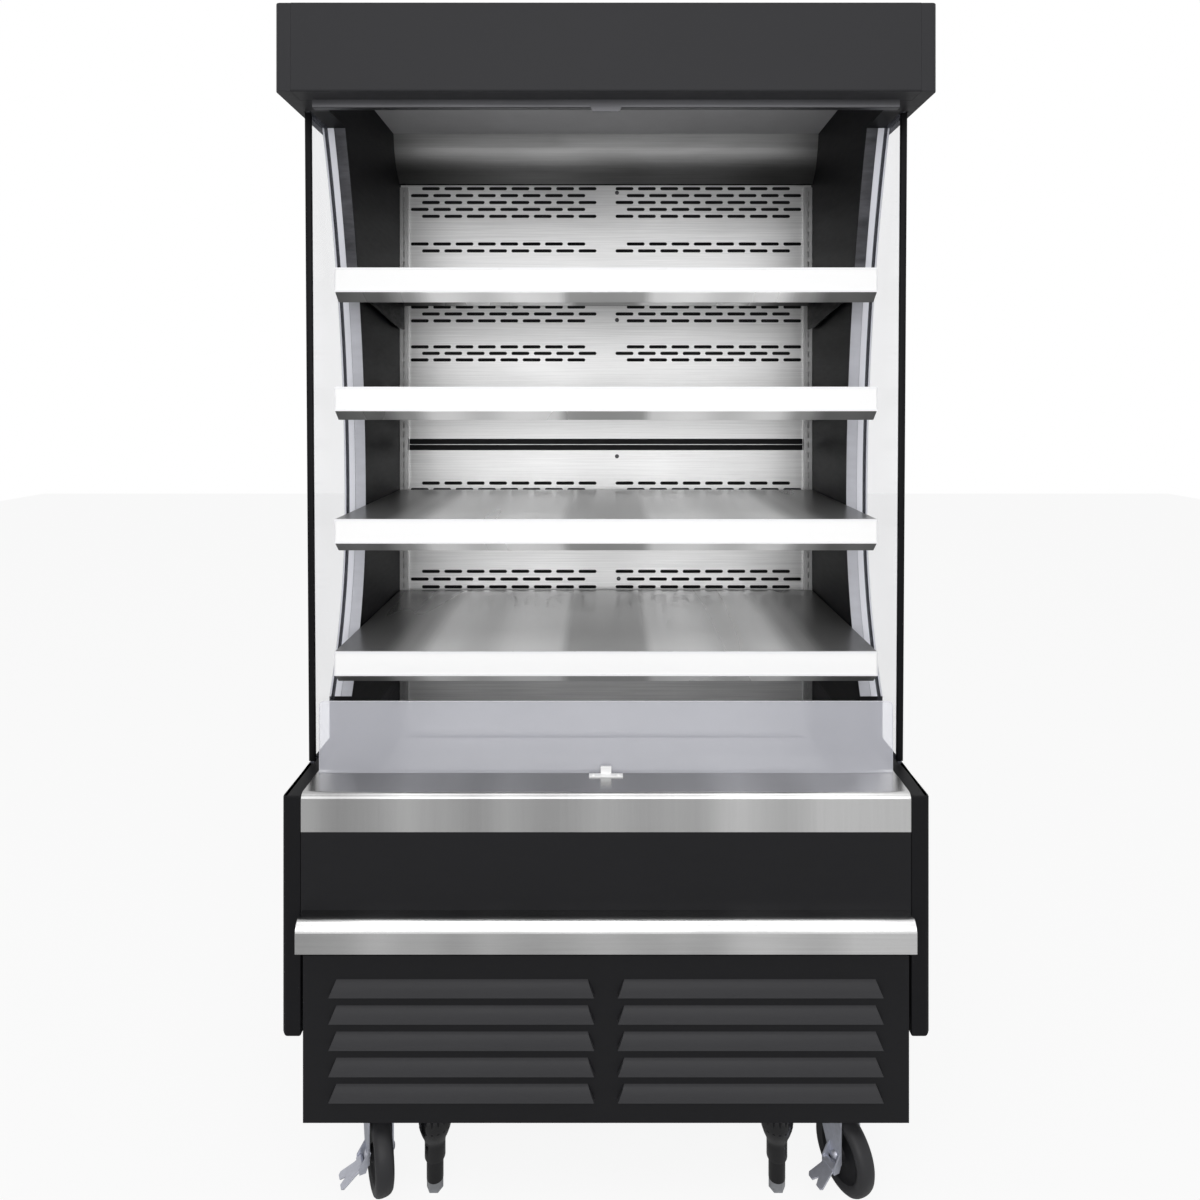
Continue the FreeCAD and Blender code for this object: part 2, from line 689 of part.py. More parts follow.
def side_wall():
    """Right insulated side wall: the hollow front edge, and the head that the canopy caps."""
    edge, head, foot = wall_edge(LINER_HALF, 0.0)
    corners = [
        foot,
        Vector(LINER_HALF, foot.y, END_PANEL_TOP),
        Vector(LINER_HALF, BACK, END_PANEL_TOP),
        Vector(LINER_HALF, BACK, ROOF_UNDERSIDE),
        Vector(LINER_HALF, at(CAP_DEPTH), ROOF_UNDERSIDE),
        Vector(LINER_HALF, at(CAP_DEPTH), WALL_HEAD_LEVEL),
        head,
    ]
    slab = closed_face(edge, corners).extrude(Vector(SIDE_WALL, 0, 0))
    return slab.cut(glass_groove())


def glass_pane(x0, x1, grow):
    """Right side glass between x0 and x1, with its outline grown all round."""
    edge, head, foot = wall_edge(x0, GLASS_BITE + grow)
    top = WALL_HEAD_LEVEL + GLASS_SEAT + grow
    bottom = END_PANEL_TOP - GLASS_SEAT - grow
    slope = (GLASS_FRONT_TOP - GLASS_FRONT_FOOT) / (WALL_HEAD_LEVEL - END_PANEL_TOP)
    front_top = at(GLASS_FRONT_TOP - grow + slope * (top - WALL_HEAD_LEVEL))
    front_foot = at(GLASS_FRONT_FOOT - grow + slope * (bottom - END_PANEL_TOP))
    corners = [
        foot,
        Vector(x0, foot.y, bottom),
        Vector(x0, front_foot, bottom),
        Vector(x0, front_top, top),
        Vector(x0, head.y, top),
        head,
    ]
    return closed_face(edge, corners).extrude(Vector(x1 - x0, 0, 0))


def side_glass():
    """Right side glass."""
    outer = HALF - GLASS_INSET
    return glass_pane(outer - GLASS_THICKNESS, outer, 0.0)


def glass_groove():
    """Space that the right side glass needs in the pieces that hold its edges."""
    outer = HALF - GLASS_INSET
    return glass_pane(outer - GLASS_THICKNESS - FLAT_FIT, outer + FLAT_FIT, FLAT_FIT)


def rear_wall():
    """Insulated back, between the side walls."""
    return block(-LINER_HALF, LINER_HALF, REAR_WALL_FACE, BACK, TUB_UNDERSIDE, ROOF_UNDERSIDE)


# ---------------------------------------------------------------- canopy
def top_panel():
    """Insulated roof between the canopy's end caps."""
    return block(
        -FASCIA_HALF, FASCIA_HALF, FRONT + FASCIA_GAUGE, BACK, ROOF_UNDERSIDE, OVERALL_HEIGHT
    )


def canopy_fascia():
    """Front sheet of the canopy, with its lower lip and the ears that carry the curtain roller."""
    path = [(FRONT, OVERALL_HEIGHT), (FRONT, CANOPY_BOTTOM, FASCIA_GAUGE), (at(FASCIA_LIP), CANOPY_BOTTOM)]
    sheet = bent_sheet(path, FASCIA_GAUGE, -FASCIA_HALF, FASCIA_HALF)
    lip_top = CANOPY_BOTTOM + FASCIA_GAUGE
    ear_top = ROLLER_LEVEL + 2 * ROLLER_RADIUS
    ear = along_x(
        [
            (at(FASCIA_GAUGE * 2), lip_top),
            (at(FASCIA_LIP), lip_top),
            (at(ROLLER_DEPTH) + ROLLER_RADIUS * 1.6, ear_top),
            (at(ROLLER_DEPTH) - ROLLER_RADIUS * 1.6, ear_top),
        ],
        BRACKET_EAR_PLACE,
        BRACKET_EAR_PLACE + BRACKET_EAR,
    )
    corner_radius = (ROLLER_RADIUS + PIN_FIT) / math.cos(math.pi / BEARING_SIDES)
    rim = ring_points(corner_radius, BEARING_SIDES)
    eye = [(at(ROLLER_DEPTH) + dy, ROLLER_LEVEL + dz) for dy, dz in rim]
    ear = ear.cut(along_x(eye, BRACKET_EAR_PLACE, BRACKET_EAR_PLACE + BRACKET_EAR))
    return joined([sheet, ear, mirrored(ear)])


def canopy_end_cap():
    """Right end cap: a rounded nose in front, a skin and a top lip over the side wall behind."""
    nose = along_z(
        [
            (FASCIA_HALF, FRONT),
            (CANOPY_HALF, FRONT, CAP_ROUNDING),
            (CANOPY_HALF, at(CAP_DEPTH)),
            (FASCIA_HALF, at(CAP_DEPTH)),
        ],
        CANOPY_BOTTOM,
        OVERALL_HEIGHT,
    )
    skin = along_y(
        [
            (HALF, CANOPY_BOTTOM),
            (CANOPY_HALF, CANOPY_BOTTOM),
            (CANOPY_HALF, OVERALL_HEIGHT),
            (FASCIA_HALF, OVERALL_HEIGHT),
            (FASCIA_HALF, ROOF_UNDERSIDE),
            (HALF, ROOF_UNDERSIDE),
        ],
        at(CAP_DEPTH),
        BACK,
    )
    shelf = block(
        PLENUM_HALF + FLAT_FIT,
        FASCIA_HALF,
        at(FASCIA_LIP) + FLAT_FIT,
        at(CAP_DEPTH),
        CANOPY_BOTTOM,
        CANOPY_BOTTOM + FASCIA_GAUGE,
    )
    return joined([nose, skin, shelf])


def ceiling_liner():
    """Ceiling sheet with the discharge box of the air curtain folded at its front."""
    gauge = BACK_GAUGE
    box_back = PLENUM_DEPTH + PLENUM_WIDTH
    lip = CANOPY_BOTTOM + WALL_HEAD_DROP
    path = [(at(box_back), lip), (at(box_back), CEILING), (at(COWL_HEAD), CEILING)]
    half = LINER_HALF - FLAT_FIT
    ceiling = bent_sheet(path, gauge, -PLENUM_HALF, PLENUM_HALF)
    wings = block(-half, half, at(CAP_DEPTH) + 6.0, at(COWL_HEAD), CEILING, CEILING + gauge)
    front = block(-PLENUM_HALF, PLENUM_HALF, at(PLENUM_DEPTH), at(PLENUM_DEPTH) + gauge, lip, ROOF_UNDERSIDE)
    parts = [ceiling, wings, front]
    for side in (-1, 1):
        x0, x1 = sorted((side * (PLENUM_HALF - gauge), side * PLENUM_HALF))
        parts.append(block(x0, x1, at(PLENUM_DEPTH), at(box_back), lip, ROOF_UNDERSIDE))
    return joined(parts)


def air_cowl():
    """Hollow-curved sheet that closes the ceiling against the back panels."""
    half = LINER_HALF - FLAT_FIT
    knee = (at(COWL_HEAD + COWL_RUN * 0.25), CEILING - (CEILING - BACK_TOP) * 0.62, COWL_BEND)
    path = [(at(COWL_HEAD), CEILING), knee, (at(COWL_FOOT), BACK_TOP)]
    return bent_sheet(path, BACK_GAUGE, -half, half)


def honeycomb_grille():
    """Air straightener in the mouth of the discharge box."""
    half = PLENUM_HALF - BACK_GAUGE - FLAT_FIT
    y0 = at(PLENUM_DEPTH) + BACK_GAUGE + FLAT_FIT
    y1 = at(PLENUM_DEPTH + PLENUM_WIDTH) - BACK_GAUGE - FLAT_FIT
    z0 = CANOPY_BOTTOM + WALL_HEAD_DROP
    slab = block(-half, half, y0, y1, z0, z0 + HONEYCOMB_HEIGHT)
    cutters = []
    bay = (2 * half - HONEYCOMB_WEB) / HONEYCOMB_BAYS
    row = (y1 - y0 - HONEYCOMB_WEB) / HONEYCOMB_ROWS
    for i in range(HONEYCOMB_BAYS):
        for j in range(HONEYCOMB_ROWS):
            x = -half + HONEYCOMB_WEB + i * bay
            y = y0 + HONEYCOMB_WEB + j * row
            x_end = x + bay - HONEYCOMB_WEB
            y_end = y + row - HONEYCOMB_WEB
            cutters.append(block(x, x_end, y, y_end, z0, z0 + HONEYCOMB_HEIGHT))
    return less(slab, cutters)


# ---------------------------------------------------------------- back of the display
def back_panel(bottom, top, outer_rises, inner_rises):
    """Stainless back sheet with flanged edges and rows of air slots, some of them set further in."""
    rear = at(BACK_PLANE + BACK_FLANGE)
    face = at(BACK_PLANE)
    path = [(rear, bottom), (face, bottom), (face, top), (rear, top)]
    half = LINER_HALF - HOOK_CLEARANCE
    sheet = bent_sheet(path[::-1], BACK_GAUGE, -half, half)
    cutters = []
    rows = [(rise, SLOT_GROUP_OUTER) for rise in outer_rises]
    rows += [(rise, SLOT_GROUP_OUTER - SLOT_STAGGER) for rise in inner_rises]
    for rise, outer in rows:
        level = DECK_TOP + rise * BACK_SCALE
        for i in range(SLOTS_PER_GROUP):
            x1 = outer - i * SLOT_PITCH
            slot = (face, face + BACK_GAUGE, level - SLOT_HEIGHT / 2, level + SLOT_HEIGHT / 2)
            cutters.append(block(x1 - SLOT_LENGTH, x1, *slot))
            cutters.append(block(-x1, SLOT_LENGTH - x1, *slot))
    return less(sheet, cutters)


def keyhole_bottoms():
    """Lower edge of each hook slot in the standards."""
    return [top - HOOK_DROP - HOOK_CLEARANCE for top in SHELF_TOPS]


def shelf_standard():
    """Right slotted upright that the shelf brackets hook into."""
    face = at(STANDARD_FACE)
    back = at(BACK_PLANE)
    outer = STANDARD_OUTER
    inner = STANDARD_OUTER - STANDARD_WIDTH
    section = [
        (inner, back),
        (inner, face),
        (outer, face),
        (outer, back),
        (outer - STANDARD_GAUGE, back),
        (outer - STANDARD_GAUGE, face + STANDARD_GAUGE),
        (inner + STANDARD_GAUGE, face + STANDARD_GAUGE),
        (inner + STANDARD_GAUGE, back),
    ]
    upright = along_z(section, DECK_TOP - DECK_GAUGE, BACK_TOP - STANDARD_TOP_GAP)
    half_slot = KEYHOLE_WIDTH / 2
    cutters = []
    for low in keyhole_bottoms():
        x0 = BRACKET_PLACE - half_slot
        x1 = BRACKET_PLACE + half_slot
        cutters.append(block(x0, x1, face, face + STANDARD_GAUGE, low, low + KEYHOLE_HEIGHT))
    return less(upright, cutters)


# ---------------------------------------------------------------- shelves
def shelf_pan(top):
    """Stainless shelf: folded front with a bevel under it, side and rear flanges, two brackets."""
    face = at(SHELF_FRONT + STRIP_DEPTH)
    rear = at(SHELF_BACK)
    fold = top - STRIP_HEIGHT - 1.0
    path = [
        (rear, top - SHELF_REAR_FLANGE),
        (rear, top),
        (face, top),
        (face, fold, SHELF_BEND),
        (face + SHELF_BEVEL[0], fold - SHELF_BEVEL[1]),
    ]
    pan = bent_sheet(path, SHELF_GAUGE, -SHELF_HALF, SHELF_HALF)
    inside = SHELF_HALF - SHELF_GAUGE
    lip = top - SHELF_SIDE_FLANGE
    flange = block(inside, SHELF_HALF, face + 4.0, rear - 4.0, lip, top - SHELF_GAUGE)
    bracket = shelf_bracket(top)
    return joined([pan, flange, mirrored(flange), bracket, mirrored(bracket)])


def shelf_bracket(top):
    """Right cantilever bracket of a shelf, with the hook that drops behind the standard's face."""
    under = top - SHELF_GAUGE
    seat = at(STANDARD_FACE) - FLAT_FIT
    relief = seat - 5.0
    hook_bottom = top - HOOK_DROP
    hook_top = hook_bottom + HOOK_HEIGHT
    hook_end = seat + HOOK_LENGTH
    lip_start = hook_end - HOOK_LIP_LENGTH
    tip = at(SHELF_BACK) - BRACKET_REACH
    outline = [
        (tip, under),
        (tip, under - BRACKET_TIP * 0.5),
        (tip + BRACKET_TIP, under - BRACKET_TIP),
        (seat - BRACKET_ROOT * 0.8, top - BRACKET_ROOT),
        (seat, top - BRACKET_ROOT),
        (seat, hook_bottom),
        (lip_start, hook_bottom),
        (lip_start, hook_bottom - HOOK_LIP),
        (hook_end, hook_bottom - HOOK_LIP),
        (hook_end, hook_top),
        (relief, hook_top),
        (relief, under),
    ]
    return along_x(outline, BRACKET_PLACE - BRACKET_GAUGE / 2, BRACKET_PLACE + BRACKET_GAUGE / 2)


def price_strip(top):
    """Extruded ticket strip on a shelf's front, with a lip along each edge that holds the tickets."""
    face = at(SHELF_FRONT)
    back = face + STRIP_DEPTH
    floor = back - STRIP_WALL
    bottom = top - STRIP_HEIGHT
    section = [
        (back, bottom),
        (back, top),
        (face, top),
        (face, top - STRIP_LIP),
        (face + 0.8, top - STRIP_LIP),
        (floor, top - STRIP_WALL),
        (floor, bottom + STRIP_WALL),
        (face + 0.8, bottom + STRIP_LIP),
        (face, bottom + STRIP_LIP),
        (face, bottom),
    ]
    return along_x(section[::-1], -SHELF_HALF, SHELF_HALF)


# ---------------------------------------------------------------- deck, grille, sill and front
def deck_pan():
    """Lift-out deck over the tub, stiffened by ribs, with two finger slots."""
    half = LINER_HALF - DECK_SIDE_GAP
    front = at(GRILLE_DEPTH + PANEL_GAUGE) + HOOK_CLEARANCE
    rear = at(STANDARD_FACE) - HOOK_CLEARANCE
    under = DECK_TOP - DECK_GAUGE
    sheet = block(-half, half, front, rear, under, DECK_TOP)
    width, height = DECK_RIB
    rib_half = LINER_HALF - LEDGE_WIDTH - 10.0
    ribs = []
    for share in (0.25, 0.6):
        y = front + (rear - front) * share
        path = [(y, under), (y, under - height), (y + width, under - height), (y + width, under)]
        ribs.append(bent_sheet(path, DECK_GAUGE, -rib_half, rib_half))
    slots = []
    length, reach = DECK_FINGER_SLOT
    for side in (-1, 1):
        x = side * half * 0.72
        slots.append(block(x - length / 2, x + length / 2, front + reach, front + 2 * reach, under, DECK_TOP))
    return joined([less(sheet, slots)] + ribs)


def return_air_grille():
    """Slotted sheet between the deck and the sill, with the ledge that carries the deck's front."""
    half = LINER_HALF - HOOK_CLEARANCE
    y0 = at(GRILLE_DEPTH)
    y1 = y0 + PANEL_GAUGE
    head = SILL_TOP - SILL_GAUGE - SILL_NOSE / 2
    foot_half = LINER_HALF - TUB_COVE
    sheet = along_y(
        [
            (-foot_half, TUB_INSIDE),
            (foot_half, TUB_INSIDE),
            (half, TUB_INSIDE + TUB_COVE + 2.0),
            (half, head),
            (-half, head),
            (-half, TUB_INSIDE + TUB_COVE + 2.0),
        ],
        y0,
        y1,
    )
    ledge_top = DECK_TOP - DECK_GAUGE
    ledge = block(-half, half, y1, y1 + LEDGE_WIDTH - 2.0, ledge_top - DECK_GAUGE, ledge_top)
    cutters = []
    slot_width, slot_height = GRILLE_SLOT_SIZE
    slot_pitch = 2 * (half - slot_width) / GRILLE_SLOTS
    slot_middle = (DECK_TOP + head) / 2
    for i in range(GRILLE_SLOTS):
        x = (i - (GRILLE_SLOTS - 1) / 2) * slot_pitch
        z0 = slot_middle - slot_height / 2
        cutters.append(block(x - slot_width / 2, x + slot_width / 2, y0, y1, z0, z0 + slot_height))
    window_width, window_height = GRILLE_WINDOW_SIZE
    window_pitch = 2 * foot_half / GRILLE_WINDOWS
    z0 = TUB_INSIDE + (ledge_top - DECK_GAUGE - TUB_INSIDE - window_height) / 2
    for i in range(GRILLE_WINDOWS):
        x = (i - (GRILLE_WINDOWS - 1) / 2) * window_pitch
        cutters.append(block(x - window_width / 2, x + window_width / 2, y0, y1, z0, z0 + window_height))
    return joined([less(sheet, cutters), ledge])


def sill():
    """Stainless sill with a rounded nose, and the channel that holds the clear riser."""
    half = LOWER_HALF - FLAT_FIT
    face_bottom = SILL_TOP - SILL_FACE
    path = [
        (at(SILL_RUN), SILL_TOP - SILL_RETURN),
        (at(SILL_RUN), SILL_TOP),
        (FRONT, SILL_TOP),
        (FRONT, face_bottom),
        (at(TUB_FRONT) - 4.0, face_bottom),
    ]
    nose_sheet = sill_section(path)
    sheet = along_x(nose_sheet, -half, half)
    slot_front = at(RISER_DEPTH) - FLAT_FIT
    slot_back = at(RISER_DEPTH + RISER_THICKNESS) + FLAT_FIT
    channel = block(
        -half,
        half,
        slot_front - CHANNEL_WALL,
        slot_back + CHANNEL_WALL,
        SILL_TOP - RISER_SEAT - CHANNEL_WALL,
        SILL_TOP - SILL_GAUGE,
    )
    slot_half = RISER_HALF + FLAT_FIT
    slot = block(-slot_half, slot_half, slot_front, slot_back, SILL_TOP - RISER_SEAT, SILL_TOP)
    return joined([sheet, channel]).cut(slot)


def sill_section(path):
    """Outline of the sill sheet, folded round its nose."""
    (rear, rear_foot), (_, top), (front, _), (_, foot), (tail, _) = path
    return [
        (rear, rear_foot),
        (rear, top),
        (front, top, SILL_NOSE),
        (front, foot),
        (tail, foot),
        (tail, foot + SILL_GAUGE),
        (front + SILL_GAUGE, foot + SILL_GAUGE),
        (front + SILL_GAUGE, top - SILL_GAUGE, SILL_NOSE - SILL_GAUGE),
        (rear - SILL_GAUGE, top - SILL_GAUGE),
        (rear - SILL_GAUGE, rear_foot),
    ]


def front_riser():
    """Clear riser that stands in the sill and keeps goods off the air curtain."""
    bottom = SILL_TOP - RISER_SEAT
    top = SILL_TOP + RISER_HEIGHT
    outline = [
        (-RISER_HALF, bottom),
        (RISER_HALF, bottom),
        (RISER_HALF, top, RISER_CORNER),
        (-RISER_HALF, top, RISER_CORNER),
    ]
    return along_y(outline, at(RISER_DEPTH), at(RISER_DEPTH + RISER_THICKNESS))


def apron():
    """Black sheet over the front of the tub, between the sill and the louvre panel."""
    half = LOWER_HALF - FLAT_FIT
    top = SILL_TOP - SILL_FACE - FLAT_FIT
    path = [
        (at(TUB_FRONT), top),
        (FRONT, top),
        (FRONT, APRON_BOTTOM),
        (at(BASE_FRONT), APRON_BOTTOM),
    ]
    return bent_sheet(path, PANEL_GAUGE, -half, half)


def bumper():
    """Stainless bumper rail: a folded channel with a round crown and closed ends."""
    top = BUMPER_BOTTOM + BUMPER_HEIGHT
    nose = FRONT - BUMPER_DEPTH
    outline = [
        (FRONT, BUMPER_BOTTOM),
        (FRONT, top),
        (nose, top, BUMPER_CROWN),
        (nose, BUMPER_BOTTOM),
    ]
    inner_outline = [
        (FRONT, BUMPER_BOTTOM + PANEL_GAUGE),
        (FRONT, top - PANEL_GAUGE),
        (nose + PANEL_GAUGE, top - PANEL_GAUGE, BUMPER_CROWN - PANEL_GAUGE),
        (nose + PANEL_GAUGE, BUMPER_BOTTOM + PANEL_GAUGE),
    ]
    body = along_x(outline, -BUMPER_HALF, BUMPER_HALF)
    inner_half = BUMPER_HALF - PANEL_GAUGE
    return body.cut(along_x(inner_outline, -inner_half, inner_half))


# ---------------------------------------------------------------- night curtain
def curtain_roller():
    """Rod that the night curtain winds on, running in the fascia's ears."""
    half = BRACKET_EAR_PLACE + BRACKET_EAR
    start = Vector(-half, at(ROLLER_DEPTH), ROLLER_LEVEL)
    return Part.makeCylinder(ROLLER_RADIUS, 2 * half, start, Vector(1, 0, 0))


def curtain_cloth():
    """Cloth of the night curtain, wound on its roller."""
    along = Vector(1, 0, 0)
    start = Vector(-CLOTH_HALF, at(ROLLER_DEPTH), ROLLER_LEVEL)
    roll = Part.makeCylinder(CLOTH_ROLL_RADIUS, 2 * CLOTH_HALF, start, along)
    return roll.cut(Part.makeCylinder(ROLLER_RADIUS + PIN_FIT, 2 * CLOTH_HALF, start, along))


def curtain_pull_bar():
    """Rail on the curtain's free edge, with a finger grip in the middle."""
    depth, height = BAR_SECTION
    y0 = at(CURTAIN_DEPTH) - depth / 2
    y1 = y0 + depth
    z0 = BAR_TOP - height
    section = [
        (y0, z0, BAR_ROUNDING),
        (y1, z0, BAR_ROUNDING),
        (y1, BAR_TOP),
        (y0, BAR_TOP),
    ]
    rail = along_x(section, -BAR_HALF, BAR_HALF)
    width, drop = BAR_GRIP
    grip = along_y(
        [
            (-width / 2, z0 + drop),
            (width / 2, z0 + drop),
            (width / 2 - drop, z0 - drop),
            (drop - width / 2, z0 - drop),
        ],
        y0,
        y0 + 3.0,
    )
    return joined([rail, grip])


def curtain_catch():
    """Small catch on the sill that the pull bar hooks over."""
    length, width, thickness = CATCH_BASE
    y0 = at(CATCH_DEPTH)
    base = block(-length / 2, length / 2, y0, y0 + width, SILL_TOP, SILL_TOP + thickness)
    tab_width, tab_gauge, tab_height = CATCH_TAB
    tab_back = y0 + width - 2.0
    tab_top = SILL_TOP + tab_height
    tab = along_x(
        [
            (tab_back, SILL_TOP),
            (tab_back, tab_top, 3.0),
            (tab_back - tab_gauge - CATCH_LIP, tab_top),
            (tab_back - tab_gauge - CATCH_LIP, tab_top - tab_gauge),
            (tab_back - tab_gauge, tab_top - tab_gauge),
            (tab_back - tab_gauge, SILL_TOP),
        ],
        -tab_width / 2,
        tab_width / 2,
    )
    return joined([base, tab])


# ---------------------------------------------------------------- refrigeration
def finned_coil(x0, x1, y0, y1, z0, z1, fins, reach):
    """Coil block: end plates and a fin pack whose gaps are grooves in its front."""
    core = block(x0 + END_PLATE, x1 - END_PLATE, y0 + 2.0, y1 - 2.0, z0 + 4.0, z1 - 4.0)
    pitch = (x1 - x0 - 2 * END_PLATE) / fins
    gap = pitch * FIN_GAP_SHARE
    grooves = []
    for i in range(fins):
        x = x0 + END_PLATE + i * pitch + (pitch - gap) / 2
        grooves.append(block(x, x + gap, y0, y0 + 2.0 + FIN_GROOVE, z0, z1))
    plates = [
        block(x0, x0 + END_PLATE, y0, y1 + reach, z0, z1),
        block(x1 - END_PLATE, x1, y0, y1 + reach, z0, z1),
    ]
    return joined([less(core, grooves)] + plates)


def condenser_box():
    """Lower corner and upper corner of the condenser coil."""
    width, height = CONDENSER_SIZE
    x0 = CONDENSER_LEFT
    y0 = at(CONDENSER_DEPTH)
    z0 = BASE_TOP_OF_PLATE
    return x0, x0 + width, y0, y0 + COIL_THICKNESS, z0, z0 + height


def condenser_coil():
    """Condenser behind the louvres."""
    return finned_coil(*condenser_box(), CONDENSER_FINS, 0.0)


def evaporator_coil():
    """Evaporator standing in the air duct behind the lower back panel."""
    y1 = REAR_WALL_FACE - 4.0
    y0 = y1 - COIL_THICKNESS
    z0 = EVAPORATOR_BOTTOM
    z1 = z0 + EVAPORATOR_HEIGHT
    return finned_coil(-EVAPORATOR_HALF, EVAPORATOR_HALF, y0, y1, z0, z1, EVAPORATOR_FINS, 4.0)


def fan_axis():
    """Centre of the condenser fan on the back of the coil."""
    x0, x1, _, y1, z0, z1 = condenser_box()
    return Vector((x0 + x1) / 2, y1, (z0 + z1) / 2)


def condenser_fan_shroud():
    """Fan shroud on the condenser: a box with a round mouth, and the motor on its four-arm spider."""
    x0, x1, _, y1, z0, z1 = condenser_box()
    y2 = y1 + SHROUD_DEPTH
    centre = fan_axis()
    back = Vector(0, 1, 0)
    g = SHROUD_GAUGE
    outer = block(x0, x1, y1, y2, z0, z1)
    hollow = block(x0 + g, x1 - g, y1, y2 - g, z0 + g, z1 - g)
    mouth_radius = FAN_RADIUS + FAN_TIP_GAP
    rim = [(centre.x + dx, centre.z + dz) for dx, dz in ring_points(mouth_radius, MOUTH_SIDES)]
    mouth = along_y(rim, y1, y2)
    shell = less(outer, [hollow, mouth])
    can = [(centre.x + dx, centre.z + dz) for dx, dz in ring_points(MOTOR_RADIUS, MOTOR_SIDES)]
    motor = along_y(can, y2 + SPIDER_GAUGE, y2 + SPIDER_GAUGE + MOTOR_LENGTH)
    arm_length = mouth_radius + SPIDER_LAP
    arms = []
    for turn in (45.0, 135.0):
        arm = block(-arm_length, arm_length, y2, y2 + SPIDER_GAUGE, -6.0, 6.0)
        arm.rotate(Vector(0, 0, 0), back, turn)
        arm.translate(Vector(centre.x, 0, centre.z))
        arms.append(arm)
    shaft_room = SPIDER_GAUGE + SHAFT_SEAT + 2.0
    hub_room = Part.makeCylinder(SHAFT_RADIUS + PIN_FIT, shaft_room, Vector(centre.x, y2, centre.z), back)
    return joined([shell, motor] + arms).cut(hub_room)


def condenser_fan_blade():
    """Condenser fan: hub, shaft and pitched blades that widen towards their tips."""
    centre = fan_axis()
    y_hub = centre.y + SHROUD_DEPTH - FAN_HUB_LENGTH - FAN_SETBACK
    back = Vector(0, 1, 0)
    hub_length = FAN_HUB_LENGTH - 2.0
    hub = along_y(ring_points(FAN_HUB_RADIUS, FAN_HUB_SIDES), y_hub, y_hub + hub_length)
    shaft_length = FAN_HUB_LENGTH + FAN_SETBACK + SPIDER_GAUGE + SHAFT_SEAT
    shaft = Part.makeCylinder(SHAFT_RADIUS, shaft_length, Vector(0, y_hub, 0), back)
    half_tip = FAN_TIP_CHORD / 2
    tip_reach = math.sqrt(FAN_RADIUS ** 2 - half_tip ** 2)
    root_reach = FAN_HUB_RADIUS * 0.8
    half_root = FAN_ROOT_CHORD / 2
    blade = along_y(
        [
            (-half_root, root_reach),
            (half_root, root_reach),
            (half_tip, tip_reach),
            (half_tip * 0.6, FAN_RADIUS * 0.98),
            (-half_tip * 0.6, FAN_RADIUS * 0.98),
            (-half_tip, tip_reach),
        ],
        -FAN_BLADE_GAUGE / 2,
        FAN_BLADE_GAUGE / 2,
    )
    blade.rotate(Vector(0, 0, 0), Vector(0, 0, 1), FAN_PITCH)
    blades = []
    for i in range(FAN_BLADES):
        copy = blade.copy()
        copy.rotate(Vector(0, 0, 0), back, i * 360.0 / FAN_BLADES)
        copy.translate(Vector(0, y_hub + hub_length / 2, 0))
        blades.append(copy)
    fan = joined([hub, shaft] + blades)
    fan.translate(Vector(centre.x, 0, centre.z))
    return fan


def compressor():
    """Hermetic compressor on its foot plate and grommets, with its terminal box."""
    x, depth = COMPRESSOR_PLACE
    y = at(depth)
    foot_x, foot_y, foot_z = COMPRESSOR_FOOT
    plate_level = BASE_TOP_OF_PLATE + GROMMET_HEIGHT
    body_level = plate_level + foot_z
    r = COMPRESSOR_RADIUS
    shell = [(x + dx, y + dy) for dx, dy in ring_points(r, COMPRESSOR_SIDES)]
    cover_x, cover_y, cover_z = TERMINAL_COVER
    cover_span = (body_level + TERMINAL_RISE, body_level + TERMINAL_RISE + cover_z)
    parts = [
        block(x - foot_x / 2, x + foot_x / 2, y - foot_y / 2, y + foot_y / 2, plate_level, body_level),
        along_z(shell, body_level, body_level + COMPRESSOR_HEIGHT),
        block(x + r - 12.0, x + r + cover_x, y - cover_y / 2, y + cover_y / 2, *cover_span),
    ]
    for corner_x in (x - foot_x / 2, x + foot_x / 2 - GROMMET_SIZE):
        for corner_y in (y - foot_y / 2, y + foot_y / 2 - GROMMET_SIZE):
            span = (corner_x, corner_x + GROMMET_SIZE, corner_y, corner_y + GROMMET_SIZE)
            parts.append(block(*span, BASE_TOP_OF_PLATE, plate_level))
    return joined(parts)


def pipe(points, radius):
    """Pipe along a line that starts level along X, mitred at its corners."""
    corners = [Vector(*point) for point in points]
    x, y, z = points[0]
    ring = [Vector(x, y + dy, z + dz) for dy, dz in ring_points(radius, PIPE_SIDES)]
    return Part.makePolygon(corners).makePipeShell([Part.makePolygon(ring + ring[:1])], True, False, 1)


def refrigerant_lines():
    """Discharge pipe from the compressor to the top of the condenser."""
    x, depth = COMPRESSOR_PLACE
    y = at(depth)
    body_level = BASE_TOP_OF_PLATE + GROMMET_HEIGHT + COMPRESSOR_FOOT[2]
    _, x1, y0, y1, _, _ = condenser_box()
    coil_y = (y0 + y1) / 2
    level = body_level + COMPRESSOR_HEIGHT * 0.8
    run_x = x1 + PIPE_STANDOFF
    return pipe(
        [
            (x - COMPRESSOR_RADIUS * math.cos(math.pi / COMPRESSOR_SIDES), y, level),
            (run_x, y, level),
            (run_x, coil_y, level),
            (x1, coil_y, level),
        ],
        PIPE_RADIUS,
    )


